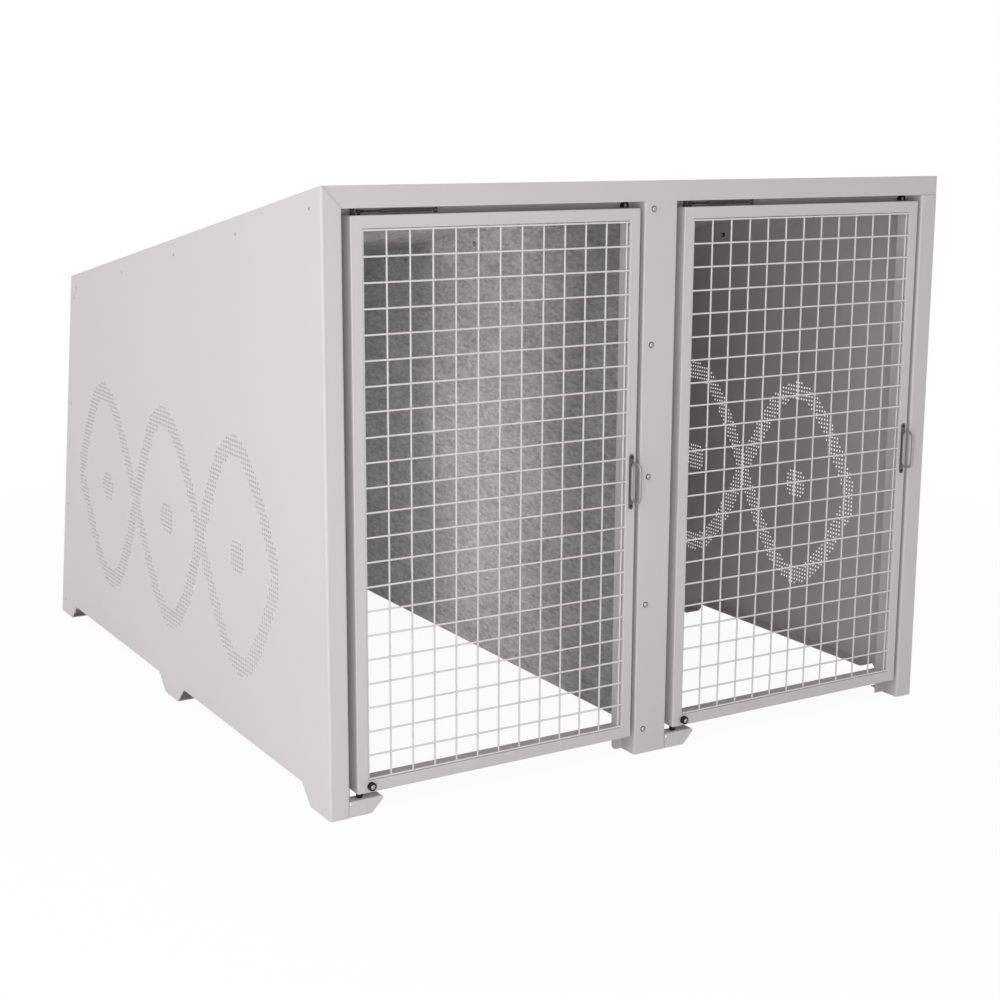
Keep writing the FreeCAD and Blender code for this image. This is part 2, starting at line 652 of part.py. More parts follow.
def door_mesh(bay):
    """Welded mesh: level wires in front, upright wires behind them."""
    left, right, low, high = door_edges(bay)
    left, right, low, high = left + TUBE_FACE, right - TUBE_FACE, low + TUBE_FACE, high - TUBE_FACE
    flat = WIRE / 2 * math.cos(math.pi / WIRE_SIDES)
    level = MESH_SETBACK + flat
    upright = level + 2 * flat
    first = left + MESH_SIDE_MARGIN
    pitch = (right - MESH_LATCH_MARGIN - first) / MESH_COLUMNS
    wires = []
    for column in range(MESH_COLUMNS + 1):
        x = first + pitch * column
        wires.append(wire(Vector(x, upright, low), Vector(x, upright, high)))
    lowest = low + MESH_END_MARGIN
    pitch = (high - MESH_END_MARGIN - lowest) / MESH_ROWS
    for row in range(MESH_ROWS + 1):
        z = lowest + pitch * row
        wires.append(wire(Vector(left, level, z), Vector(right, level, z)))
    return Part.makeCompound(wires)


def handle_place(bay):
    return door_edges(bay)[1] - TUBE_FACE / 2


def handle_heights():
    return [HANDLE_CENTRE - HANDLE_HOLES / 2, HANDLE_CENTRE + HANDLE_HOLES / 2]


def handle(bay):
    """Bow pull bent from flat bar, with a drilled foot at each end."""
    x = handle_place(bay)
    low, high = handle_heights()
    inner = HANDLE_BAR - HANDLE_REACH
    path = [(low - HANDLE_END, 0.0), (low + HANDLE_FOOT, 0.0), (low + HANDLE_FOOT + HANDLE_SPREAD, inner),
            (high - HANDLE_FOOT - HANDLE_SPREAD, inner), (high - HANDLE_FOOT, 0.0), (high + HANDLE_END, 0.0)]
    bow = folded(path[::-1], lambda z, y: Vector(x - HANDLE_WIDTH / 2, y, z), Vector(HANDLE_WIDTH, 0, 0),
                 thickness=HANDLE_BAR, bend=HANDLE_BEND)
    holes = [few_sided_hole(HANDLE_SCREW_RADIUS + SEAT_CLEARANCE, Vector(x, -HANDLE_REACH, z),
                            Vector(x, 1, z), FASTENER_SIDES) for z in (low, high)]
    return cut_all(bow, holes)


def handle_screws(bay):
    screws = []
    for z in handle_heights():
        seat = Vector(handle_place(bay), -HANDLE_BAR, z)
        screws.append(screw(seat, Vector(0, 1, 0), HANDLE_BAR + HANDLE_SCREW_REACH, HANDLE_SCREW_RADIUS,
                            HANDLE_SCREW_HEAD_RADIUS, HANDLE_SCREW_HEAD_TOP_RADIUS, HANDLE_SCREW_HEAD))
    return Part.makeCompound(screws)


def buffer_place(bay):
    left, right, low, high = door_edges(bay)
    return left + TUBE_FACE + BUFFER_FROM_STILE, low + BUFFER_ABOVE_EDGE


def buffer(seat, direction, height, bolt_recess):
    """Rubber ring standing on a face, with a bore for its bolt and a recess for the bolt's head."""
    shoulder = seat + direction * (height - BUFFER_CHAMFER)
    body = fuse_all([few_sided_bar(BUFFER_RADIUS, seat, shoulder, BUFFER_SIDES),
                     tapered_bar(BUFFER_RADIUS, BUFFER_RADIUS - BUFFER_CHAMFER, shoulder,
                                 seat + direction * height, BUFFER_SIDES)])
    bore = few_sided_hole(BUFFER_BOLT_RADIUS + SEAT_CLEARANCE, seat - direction,
                          seat + direction * (height + 1), FASTENER_SIDES)
    top = seat + direction * (height - bolt_recess)
    recess = few_sided_hole(BUFFER_BOLT_HEAD_RADIUS + SEAT_CLEARANCE, top,
                            top + direction * (height + 1), FITTING_SIDES)
    return cut_all(body, [bore, recess])


def buffer_bolt(seat, direction, height, bolt_recess, through):
    """Bolt in a buffer: its head in the recess, its shank through what the buffer stands on."""
    under_head = seat + direction * (height - bolt_recess)
    head = few_sided_bar(BUFFER_BOLT_HEAD_RADIUS, under_head, under_head + direction * BUFFER_BOLT_HEAD,
                         FITTING_SIDES)
    shank = few_sided_bar(BUFFER_BOLT_RADIUS, under_head, seat - direction * through, FASTENER_SIDES)
    return head.fuse(shank).removeSplitter()


def door_buffer(bay):
    x, z = buffer_place(bay)
    return Vector(x, 0, z), Vector(0, -1, 0), BUFFER_HEIGHT, BUFFER_BOLT_HEAD - BUFFER_BOLT_PROUD


def header_buffer(bay):
    x = bay + BAY_WIDTH - LATCH_FLANGE - LIP_WIDTH + BUFFER_FROM_LIP_EDGE
    z = OPENING_TOP - BUFFER_BELOW_HEADER
    return Vector(x, LIP_FACE, z), Vector(0, -1, 0), LIP_FACE - TUBE_DEPTH - STOP_CLEARANCE, BUFFER_BOLT_HEAD


def lip_hole(bay):
    """Hole in the stop lip for the header buffer's bolt."""
    seat = header_buffer(bay)[0]
    return few_sided_hole(BUFFER_BOLT_RADIUS + SEAT_CLEARANCE, seat - Vector(0, 1, 0),
                          seat + Vector(0, 2 * SHEET, 0), FASTENER_SIDES)


def pivot_bracket(bay):
    """Box bracket with a chamfered nose, open at the rear, that carries the door's lower pin."""
    x0 = bay + HINGE_FLANGE
    x1 = x0 + BRACKET_LENGTH
    top = BRACKET_HEIGHT
    nose = top - BRACKET_NOSE
    outline = [(x0, 0.0), (x1 - BRACKET_CHAMFER, 0.0), (x1, nose), (x1, top), (x0, top)]
    slant = SHEET * (math.hypot(BRACKET_CHAMFER, nose) - BRACKET_CHAMFER) / nose
    inside = [(x0 + SHEET, SHEET), (x1 - BRACKET_CHAMFER - slant, SHEET),
              (x1 - SHEET, nose + SHEET / 2), (x1 - SHEET, top - SHEET), (x0 + SHEET, top - SHEET)]
    body = prism_y(outline, 0, BRACKET_DEPTH)
    cavity = prism_y(inside, SHEET, BRACKET_DEPTH + SHEET)
    pivot = Vector(pivot_place(bay), PIVOT_DEPTH, top)
    hole = few_sided_hole(PIN_RADIUS + SEAT_CLEARANCE, pivot - Vector(0, 0, 2 * SHEET),
                          pivot + Vector(0, 0, 1), FITTING_SIDES)
    return cut_all(body, [cavity, hole])


def pivots(bay):
    """Pins on the locker and flanged bushes in the door, on the hinge axis."""
    x = pivot_place(bay)

    def at(z):
        return Vector(x, PIVOT_DEPTH, z)

    under_plate = BRACKET_HEIGHT - SHEET
    over_plate = OPENING_TOP + SHEET
    lower_pin = fuse_all([few_sided_bar(PIN_HEAD_RADIUS, at(under_plate - PIN_HEAD_HEIGHT),
                                        at(under_plate), FITTING_SIDES),
                          few_sided_bar(PIN_RADIUS, at(under_plate), at(DOOR_BOTTOM + PIN_REACH),
                                        FITTING_SIDES)])
    upper_pin = fuse_all([few_sided_bar(PIN_HEAD_RADIUS, at(over_plate),
                                        at(over_plate + PIN_HEAD_HEIGHT), FITTING_SIDES),
                          rod(PIN_RADIUS, at(DOOR_TOP - PIN_REACH), at(over_plate))])
    bore = few_sided_hole(PIN_RADIUS + RUNNING_CLEARANCE, at(0), at(FRONT_HEIGHT), FITTING_SIDES)
    lower_bush = fuse_all([few_sided_bar(BUSH_RADIUS, at(BRACKET_HEIGHT + THRUST_CLEARANCE),
                                         at(DOOR_BOTTOM), FITTING_SIDES),
                           few_sided_bar(SPIGOT_RADIUS, at(DOOR_BOTTOM), at(DOOR_BOTTOM + SPIGOT_LENGTH),
                                         FITTING_SIDES)]).cut(bore)
    upper_bush = fuse_all([few_sided_bar(BUSH_RADIUS, at(DOOR_TOP), at(DOOR_TOP + UPPER_COLLAR),
                                         FITTING_SIDES),
                           few_sided_bar(SPIGOT_RADIUS, at(DOOR_TOP - SPIGOT_LENGTH), at(DOOR_TOP),
                                         FITTING_SIDES)]).cut(bore)
    return {"lower_pin": lower_pin, "upper_pin": upper_pin,
            "lower_bush": lower_bush, "upper_bush": upper_bush}


def stay(bay):
    """Gas stay: stud on the door, rod with its end eye, cylinder with its end eye, bolt on the header."""
    x = pivot_place(bay) + STAY_ARM
    axis_z = OPENING_TOP - STAY_HEIGHT

    def at(dx, z=axis_z):
        return Vector(x + dx, PIVOT_DEPTH, z)

    def bar(radius, start, end, sides=FITTING_SIDES):
        return few_sided_bar(radius, start, end, sides)

    stud = fuse_all([bar(STUD_RADIUS, at(0, DOOR_TOP), at(0, DOOR_TOP + STUD_HEIGHT)),
                     bar(STUD_SHANK_RADIUS, at(0, DOOR_TOP - STUD_SHANK), at(0, DOOR_TOP),
                         FASTENER_SIDES)])
    low = axis_z - EYE_HEIGHT / 2
    high = axis_z + EYE_HEIGHT / 2
    rod_eye = bar(EYE_RADIUS, at(0, low), at(0, high))
    strut_rod = fuse_all([rod_eye, bar(ROD_RADIUS, at(0), at(ROD_LENGTH), FASTENER_SIDES)])
    cylinder = bar(CYLINDER_RADIUS, at(CYLINDER_START), at(STAY_LENGTH - CYLINDER_END))
    cylinder_eye = bar(EYE_RADIUS, at(STAY_LENGTH, low), at(STAY_LENGTH, high))
    link = bar(ROD_RADIUS, at(STAY_LENGTH - CYLINDER_END), at(STAY_LENGTH), FASTENER_SIDES)
    hollow = few_sided_hole(ROD_RADIUS + ROD_CLEARANCE, at(CYLINDER_START - 1), at(ROD_LENGTH + 1),
                            FASTENER_SIDES)
    bore = few_sided_hole(STAY_BOLT_RADIUS + RUNNING_CLEARANCE, at(STAY_LENGTH, low - 1),
                          at(STAY_LENGTH, high + 1), FITTING_SIDES)
    strut_tube = cut_all(fuse_all([cylinder, link, cylinder_eye]), [hollow, bore])
    head_top = low - THRUST_CLEARANCE
    bolt = fuse_all([bar(STAY_BOLT_HEAD_RADIUS, at(STAY_LENGTH, head_top - STAY_BOLT_HEAD),
                         at(STAY_LENGTH, head_top)),
                     rod(STAY_BOLT_RADIUS, at(STAY_LENGTH, head_top),
                         at(STAY_LENGTH, OPENING_TOP + SHEET + NUT_HEIGHT + SCREW_END))])
    bolt_nut = nut(at(STAY_LENGTH, OPENING_TOP + SHEET), Vector(0, 0, 1), bore=STAY_BOLT_RADIUS)
    return {"stay_stud": stud, "strut_rod": strut_rod, "strut_tube": strut_tube,
            "strut_bolt": Part.makeCompound([bolt, bolt_nut])}


def door_and_fittings(bay):
    """Every piece of one door and of what carries it, by name."""
    pieces = door_frame(bay)
    pieces["mesh"] = door_mesh(bay)
    pieces["handle"] = handle(bay)
    pieces["handle_screws"] = handle_screws(bay)
    seat, direction, height, recess = door_buffer(bay)
    pieces["door_buffer"] = buffer(seat, direction, height, recess)
    pieces["door_buffer_bolt"] = buffer_bolt(seat, direction, height, recess, 2 * TUBE_WALL)
    seat, direction, height, recess = header_buffer(bay)
    pieces["header_buffer"] = buffer(seat, direction, height, recess)
    pieces["header_buffer_bolt"] = buffer_bolt(seat, direction, height, recess, 2 * SHEET)
    pieces["pivot_bracket"] = pivot_bracket(bay)
    pieces.update(pivots(bay))
    pieces.update(stay(bay))
    return pieces


def locker():
    """Every piece of the locker, by name."""
    mirror = (Vector(0, 0, 0), Vector(1, 0, 0))
    left_screws = [Vector(-BAY_WIDTH, y, z) for y, z in sheet_screw_places()]
    right_screws = [Vector(BAY_WIDTH, y, z) for y, z in sheet_screw_places()]
    middle_screws = [Vector(-HALF - SHEET, y, z) for y, z in sheet_screw_places()]
    post_screws = [Vector(-POST_SCREW_INSET, 0, z) for z in post_screw_heights()]
    rightwards = Vector(1, 0, 0)
    rearwards = Vector(0, 1, 0)
    pieces = {
        "left_side_panel": side_panel(HINGE_FLANGE, True),
        "right_side_panel": side_panel(LATCH_FLANGE, False).mirror(*mirror).cut(lip_hole(0)),
        "mid_post": mid_post().cut(lip_hole(-BAY_WIDTH)),
        "partition": partition(),
        "left_roof": roof(-BAY_WIDTH, SHEET - BAY_WIDTH, -HALF),
        "right_roof": roof(0, HALF, BAY_WIDTH - SHEET),
        "left_back": back(SHEET - BAY_WIDTH, -HALF),
        "right_back": back(HALF, BAY_WIDTH - SHEET),
        "left_side_screws": screw_group(left_screws, rightwards, 2),
        "left_side_nuts": nut_group(left_screws, rightwards, 2),
        "right_side_screws": screw_group(right_screws, rightwards * -1, 2),
        "right_side_nuts": nut_group(right_screws, rightwards * -1, 2),
        "partition_screws": screw_group(middle_screws, rightwards, 3),
        "partition_nuts": nut_group(middle_screws, rightwards, 3),
        "mid_post_screws": screw_group(post_screws, rearwards, 2),
        "mid_post_nuts": nut_group(post_screws, rearwards, 2),
    }
    for side, bay in (("left", -BAY_WIDTH), ("right", 0.0)):
        for name, shape in door_and_fittings(bay).items():
            pieces[side + "_" + name] = shape
    return pieces


os.makedirs("parts", exist_ok=True)
for name, shape in locker().items():
    shape.translate(Vector(0, -REST_CENTRE_Y, 0))
    shape.exportStep("parts/" + name + ".step")
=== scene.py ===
import json
import math

import bmesh
import bpy
from bpy.props import FloatProperty, FloatVectorProperty, IntProperty, PointerProperty
from mathutils import Matrix, Vector


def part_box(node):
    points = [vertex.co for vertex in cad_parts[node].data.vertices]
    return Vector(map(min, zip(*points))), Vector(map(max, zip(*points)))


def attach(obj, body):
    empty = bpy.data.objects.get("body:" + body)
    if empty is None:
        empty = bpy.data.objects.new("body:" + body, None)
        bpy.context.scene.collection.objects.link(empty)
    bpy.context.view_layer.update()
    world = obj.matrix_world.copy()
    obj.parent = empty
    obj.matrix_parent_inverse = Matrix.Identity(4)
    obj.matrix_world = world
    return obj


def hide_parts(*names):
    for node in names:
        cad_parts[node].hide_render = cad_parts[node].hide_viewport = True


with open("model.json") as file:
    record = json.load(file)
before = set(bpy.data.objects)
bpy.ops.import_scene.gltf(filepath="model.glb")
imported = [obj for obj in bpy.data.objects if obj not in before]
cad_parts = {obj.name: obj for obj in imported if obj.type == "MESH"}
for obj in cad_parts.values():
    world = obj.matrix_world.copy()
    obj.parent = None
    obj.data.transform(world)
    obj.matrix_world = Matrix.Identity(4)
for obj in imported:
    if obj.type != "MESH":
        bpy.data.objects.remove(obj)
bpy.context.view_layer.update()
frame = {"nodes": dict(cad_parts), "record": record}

bl_info = {
    "name": "Bicycle Locker",
    "version": (1, 0, 0),
    "blender": (4, 5, 0),
    "location": "View3D > Sidebar > Locker",
    "description": "Dresses a twin bicycle locker with its panels, doors, fittings and a studio",
    "category": "Object",
}

PANEL_LOW, PANEL_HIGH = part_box("left_side_panel")
FRONT = PANEL_LOW.y
REAR = PANEL_HIGH.y
OUTER = PANEL_LOW.x
TOP = PANEL_HIGH.z
SIDES = ("left", "right")
SLOTS = {part["node"]: part["material_slot"] for part in frame["record"]["subparts"]}
BODIES = {node: body for body, nodes in frame["record"]["behaviour"]["bodies"].items() for node in nodes}
X_AXIS = Vector((1, 0, 0))
Y_AXIS = Vector((0, 1, 0))
Z_AXIS = Vector((0, 0, 1))
WHITE = (1, 1, 1, 1)

# How far a cutting shape reaches past what it cuts
FAR = 0.01
# Points nearer than this are one
MERGE = 1e-6
# Faces that meet at a smaller angle aren't rounded, in radians
LEAST_CORNER = 0.5
# Depth of the finest bumps of every finish
BUMP_DEPTH = 0.0002
# From the middle of a roof or back to a point well inside its bay
INWARD = 0.1

# Small sizes of the handles, pins and gas stays
FINE_EDGE = 0.0006
PIN_EDGE = 0.0008
HOOP_SEAT = 0.0004
HANDLE_SCREW_HEAD = 0.0016
HANDLE_SCREW_LENGTH = 0.009
STUD_NECK = 0.002
ROD_EDGE = 0.0004
ROD_PLAY = 0.0001
ROD_END_GAP = 0.001
MOUTH_EDGE = 0.0007
TAIL_EDGE = 0.0012
STAY_EYE_HOLE = 0.00256
STAY_BOLT = 0.0025
STAY_BOLT_HEAD = 0.0022
STAY_BOLT_SOCKET = 0.0016
# Width of a bore as a share of what runs in it
BUSH_PLAY = 1.02
BOLT_PLAY = 1.04


# Properties

def length(name, description, default):
    return FloatProperty(name=name, description=description, default=default, min=0.0, unit="LENGTH")


def power(name, description, default):
    return FloatProperty(name=name, description=description, default=default, min=0.0, unit="POWER")


def count(name, description, default):
    return IntProperty(name=name, description=description, default=default, min=1)


def colour(name, description, default):
    return FloatVectorProperty(name=name, description=description, default=default, subtype="COLOR",
                               size=3, min=0.0, max=1.0)


def amount(name, description, default):
    return FloatProperty(name=name, description=description, default=default, min=0.0, max=1.0,
                         subtype="FACTOR")


class LOCKER_PG_panels(bpy.types.PropertyGroup):
    sheet: length("Sheet", "Thickness of the folded sheet", 0.002)
    fold: length("Fold", "Outer radius of a fold", 0.0035)
    hinge_flange: length("Hinge flange", "Width of a post on the hinge side", 0.040)
    latch_flange: length("Latch flange", "Width of a post on the latch side", 0.043)
    header: length("Header", "Height of the header over the doors", 0.043)
    reveal: length("Reveal", "Depth of the opening's sides", 0.050)
    lip: length("Stop lip", "Width of the lip that the door closes on", 0.025)
    lip_bottom: length("Lip bottom", "Height at which the stop lip ends", 0.040)
    lip_round: length("Lip corner", "Radius of the stop lip's lower corner", 0.012)
    roof_depth: length("Roof depth", "Depth of the locker under the roof's rear edge", 1.543)
    back_height: length("Rear height", "Height of the locker at the roof's rear edge", 0.966)
    foot_lift: length("Foot height", "Height of the feet", 0.041)
    end_foot: length("End foot", "Length of the front and rear feet", 0.092)
    middle_foot: length("Middle foot", "Length of the middle foot", 0.084)
    middle_foot_place: length("Middle foot place", "Middle foot's centre behind the front", 0.888)
    foot_flange: length("Foot flange", "Width of the turned-in ground edge", 0.040)
    anchor_radius: length("Anchor hole", "Radius of the holes for ground anchors", 0.006)
    anchor_inset: length("Anchor inset", "Anchor holes' distance from the panel", 0.020)
    front_anchor: length("Front anchor", "Front anchor's distance behind the front", 0.072)
    rear_anchor: length("Rear anchor", "Rear anchor's distance before the rear end", 0.046)
    screw_hole: length("Screw hole", "Radius of the screws' holes", 0.0033)


class LOCKER_PG_figure(bpy.types.PropertyGroup):
    hole: length("Hole", "Radius of one hole of the figure", 0.0030)
    pitch: length("Pitch", "Distance between the holes", 0.0102)
    start: length("Start", "Where the waves start behind the front", 0.235)
    run: length("Length", "Length of the waves along the panel", 1.290)
    height: length("Height", "Height of the waves' middle line", 0.445)
    swing: length("Swing", "How far the waves leave their middle line", 0.245)
    band: length("Band", "Width of a wave's band of holes", 0.044)
    spot: length("Spot", "Radius of the spot in each eye", 0.040)
    eyes: count("Eyes", "Eyes between the crossing waves", 3)


class LOCKER_PG_doors(bpy.types.PropertyGroup):
    tube: length("Tube face", "Width of the frame tube seen from the front", 0.025)
    tube_round: length("Tube corner", "Radius of the tube's edges", 0.0024)
    wire: length("Wire", "Diameter of the mesh wire", 0.0038)
    plate: length("Handle plate", "Thickness of the plate under the handle", 0.0025)
    plate_width: length("Plate width", "Width of the plate under the handle", 0.011)
    bar: length("Handle bar", "Thickness of the handle's round bar", 0.007)
    hoop_inset: length("Hoop inset", "From the plate's end to the hoop", 0.015)
    hoop_round: length("Hoop corner", "Outer radius of the hoop's corners", 0.016)


class LOCKER_PG_fittings(bpy.types.PropertyGroup):
    head: length("Screw head", "Radius of a panel screw's head", 0.0062)
    head_height: length("Screw head height", "Height of a panel screw's head", 0.0033)
    shank: length("Screw shank", "Radius of a panel screw's shank", 0.003)
    socket: length("Screw socket", "Radius of the hexagon socket of a panel screw", 0.0023)
    nut: length("Nut", "Radius of a nut over its corners", 0.0058)
    handle_head: length("Handle screw head", "Radius of a handle screw's head", 0.0036)
    handle_shank: length("Handle screw shank", "Radius of a handle screw's shank", 0.002)
    buffer_edge: length("Buffer edge", "Radius of the rounded edge of a rubber buffer", 0.0026)
    bolt_head: length("Buffer bolt head", "Radius of the head of a buffer's bolt", 0.0052)
    bolt_head_height: length("Buffer bolt head height", "Height of the head of a buffer's bolt", 0.004)
    bolt: length("Buffer bolt", "Radius of the shank of a buffer's bolt", 0.0025)
    bracket_nose: length("Bracket nose", "Height of the pivot bracket's upright end", 0.006)
    bracket_slant: length("Bracket slant", "Length of the pivot bracket's slanted end", 0.026)
    bracket_round: length("Bracket corner", "Outer radius of the pivot bracket's folds", 0.0035)
    relief: length("Bracket relief", "Radius of the relief hole at the bracket's fold", 0.0034)
    pin: length("Pin", "Radius of a door pin", 0.004)
    pin_head: length("Pin head height", "Height of a door pin's head", 0.004)
    spigot: length("Bush spigot", "Radius of the part of a bush inside the door", 0.00525)
    spigot_length: length("Spigot length", "Length of the part of a bush inside the door", 0.0035)
    stud: length("Stay stud", "Radius of the stay stud's head", 0.0032)
    eye: length("Stay eye", "Radius of the gas stay's end eyes", 0.0042)
    rod: length("Stay rod", "Radius of the gas stay's rod", 0.0015)
    cylinder: length("Stay cylinder", "Radius of the gas stay's cylinder", 0.0028)
    link: length("Stay link", "From the cylinder's end to its eye's middle", 0.008)
    rod_length: length("Rod length", "Length of the rod from its eye's middle", 0.110)


class LOCKER_PG_finishes(bpy.types.PropertyGroup):
    frame_paint: colour("Frame paint", "Powder coat of the panels, posts and roofs",
                        (0.62, 0.585, 0.593))
    door_paint: colour("Door paint", "Powder coat of the door frames", (0.62, 0.585, 0.593))
    mesh_coating: colour("Mesh coating", "Coating of the wire mesh", (0.72, 0.71, 0.70))
    zinc_dark: colour("Dark zinc", "Dark spangles of the galvanised sheet", (0.22, 0.223, 0.230))
    zinc_light: colour("Light zinc", "Light spangles of the galvanised sheet", (0.52, 0.52, 0.516))
    # Painted sheen: tint of the paler band that stands in for a lamp's reflection on the galvanised
    # sheet.
    zinc_painted_sheen: colour("Zinc painted sheen", "Tint of the paler band across the galvanised sheet",
                      (1.0, 0.955, 0.945))
    fastener: colour("Fasteners", "Zinc-plated screws, nuts and bolts", (0.50, 0.49, 0.485))
    blackened: colour("Blackened steel", "Blackened screws, studs and bolts", (0.022, 0.022, 0.022))
    handle: colour("Handles", "Hoops of the handles", (0.36, 0.345, 0.335))
    plate: colour("Handle plates", "Plates under the handles", (0.13, 0.125, 0.122))
    rubber: colour("Rubber", "Buffers", (0.012, 0.012, 0.013))
    plastic: colour("Plastic", "Bushes of the door pins", (0.010, 0.010, 0.011))
    cylinder: colour("Stay cylinder", "Paint of the gas stays' cylinders", (0.06, 0.06, 0.06))
    rod: colour("Stay rod", "Gas stays' rods", (0.012, 0.012, 0.013))
    roughness: amount("Paint roughness", "Roughness of the powder coat", 0.42)


class LOCKER_PG_stage(bpy.types.PropertyGroup):
    lens: FloatProperty(name="Lens", description="Focal length of the camera", default=61.94, min=10.0,
                        subtype="DISTANCE_CAMERA")
    aim: FloatVectorProperty(name="Aim", description="Direction in which the camera looks",
                             subtype="DIRECTION", default=(0.5052, 0.8398, -0.1986))
    upright: FloatVectorProperty(name="Upright", description="Direction that is up in the picture",
                                 subtype="DIRECTION", default=(0.0987, 0.1725, 0.9801))
    rise: FloatProperty(name="Vertical shift", description="Vertical shift of the camera",
                        default=-0.0276)
    place: FloatVectorProperty(name="Camera", description="Place of the camera", subtype="XYZ",
                               unit="LENGTH", default=(-2.1524, -3.7920, 1.3632))
    floor_white: amount("Floor white", "Share of plain white in the floor near the locker", 0.95)
    sky: amount("Sky", "Strength of the light from straight above", 0.94)
    horizon: amount("Horizon", "Strength of the light from the sides", 0.2)
    left_lamp: power("Left lamp", "Power of the lamp at the left", 64.0)
    front_lamp: power("Front lamp", "Power of the lamp in front", 25.5)
    inner_lamp: power("Inner lamp", "Power of the lamp in the left bay", 1.25)


# Mesh tools

def new_verts(result):
    return [item for item in result["geom"] if isinstance(item, bmesh.types.BMVert)]


def joined(parts):
    """One bmesh that holds several, which are freed."""
    whole = bmesh.new()
    for part in parts:
        mesh = bpy.data.meshes.new("part")
        part.to_mesh(mesh)
        part.free()
        whole.from_mesh(mesh)
        bpy.data.meshes.remove(mesh)
    return whole


def box(low, high):
    bm = bmesh.new()
    size = Vector(high) - Vector(low)
    middle = (Vector(high) + Vector(low)) / 2
    bmesh.ops.create_cube(bm, size=1.0, matrix=Matrix.Translation(middle) @ Matrix.Diagonal((*size, 1)))
    return bm


def along(axis, place):
    """Matrix that turns Z towards an axis and moves to a place."""
    turn = Vector(axis).to_track_quat("Z", "Y").to_matrix().to_4x4()
    return Matrix.Translation(place) @ turn


def bar(start, end, radius, sides=16):
    """Round bar between two points."""
    bm = bmesh.new()
    run = Vector(end) - Vector(start)
    bmesh.ops.create_cone(bm, cap_ends=True, segments=sides, radius1=radius, radius2=radius,
                          depth=run.length, matrix=along(run, Vector(start) + run / 2))
    return bm


def folded(path, run, thickness, radius, segments=4):
    """Sheet folded along a path of points and extended by the vector run, with the metal on one side."""
    bm = bmesh.new()
    verts = [bm.verts.new(point) for point in path]
    edges = [bm.edges.new(pair) for pair in zip(verts, verts[1:])]
    grown = bmesh.ops.extrude_edge_only(bm, edges=edges)
    bmesh.ops.translate(bm, verts=new_verts(grown), vec=run)
    folds = [edge for edge in bm.edges if len(edge.link_faces) == 2]
    bmesh.ops.bevel(bm, geom=folds, offset=radius, offset_type="OFFSET", segments=segments,
                    profile=0.5, affect="EDGES", material=-1)
    bmesh.ops.solidify(bm, geom=bm.faces[:], thickness=thickness)
    bmesh.ops.recalc_face_normals(bm, faces=bm.faces[:])
    return bm


def rectangle(corner, first, second):
    """Corners of a rectangle, from one corner and its two sides."""
    return [corner, corner + first, corner + first + second, corner + second]


def arc(radius, middle, first, last, steps=5, rise=None):
    """Points of a flat arc about a middle, between two angles; with a rise, of an ellipse."""
    points = []
    for step in range(steps + 1):
        angle = math.radians(first + (last - first) * step / steps)
        points.append((middle[0] + radius * math.cos(angle),
                       middle[1] + (rise or radius) * math.sin(angle)))
    return points


def drum(radius, low, high, low_edge, high_edge, low_steps=3, high_steps=3):
    """(radius, height) points up the outside of a round piece with two rounded edges."""
    return (arc(low_edge, (radius - low_edge, low + low_edge), -90, 0, low_steps)
            + arc(high_edge, (radius - high_edge, high - high_edge), 0, 90, high_steps))


def outline(corners, corner_round=0.0):
    """One flat face with rounded corners."""
    bm = bmesh.new()
    bm.faces.new([bm.verts.new(corner) for corner in corners])
    if corner_round:
        bmesh.ops.bevel(bm, geom=bm.verts[:], offset=corner_round, offset_type="OFFSET", segments=7,
                        profile=0.5, affect="VERTICES", material=-1)
    bm.normal_update()
    return bm


def opened(bm, width):
    """Leaves a frame of one width along the rim of a flat face."""
    bm.faces.ensure_lookup_table()
    face = bm.faces[0]
    bmesh.ops.inset_region(bm, faces=[face], thickness=width, use_even_offset=True, use_boundary=True)
    bmesh.ops.delete(bm, geom=[face], context="FACES")
    return bm


def thickened(bm, run, edge_round=0.0, segments=4, **options):
    """Extends flat faces by the vector run, and rounds the edges whose faces meet at an angle."""
    grown = bmesh.ops.extrude_face_region(bm, geom=bm.faces[:], **options)
    bmesh.ops.translate(bm, verts=new_verts(grown), vec=run)
    bmesh.ops.recalc_face_normals(bm, faces=bm.faces[:])
    if edge_round:
        sharp = [edge for edge in bm.edges
                 if len(edge.link_faces) == 2 and edge.calc_face_angle(0.0) > LEAST_CORNER]
        bmesh.ops.bevel(bm, geom=sharp, offset=edge_round, offset_type="OFFSET", segments=segments,
                        profile=0.5, affect="EDGES", material=-1, clamp_overlap=True)
    return bm


def prism(points, run):
    """Solid with a flat outline, extended by the vector run."""
    return thickened(outline(points), run)


def turned(profile, place, axis, steps=24):
    """Solid turned about an axis from (radius, height) points, closed where the radius is zero."""
    bm = bmesh.new()
    verts = [bm.verts.new((radius, 0.0, height)) for radius, height in profile]
    edges = [bm.edges.new(pair) for pair in zip(verts, verts[1:])]
    bmesh.ops.spin(bm, geom=verts + edges, cent=(0, 0, 0), axis=(0, 0, 1), angle=2 * math.pi,
                   steps=steps, use_merge=True)
    bmesh.ops.remove_doubles(bm, verts=bm.verts[:], dist=MERGE)
    bmesh.ops.recalc_face_normals(bm, faces=bm.faces[:])
    bmesh.ops.transform(bm, matrix=along(axis, place), verts=bm.verts[:])
    return bm


def merged(node_name):
    """Copy of a CAD node's mesh whose triangles are joined."""
    bm = bmesh.new()
    bm.from_mesh(frame["nodes"][node_name].data)
    bmesh.ops.remove_doubles(bm, verts=bm.verts[:], dist=MERGE)
    return bm


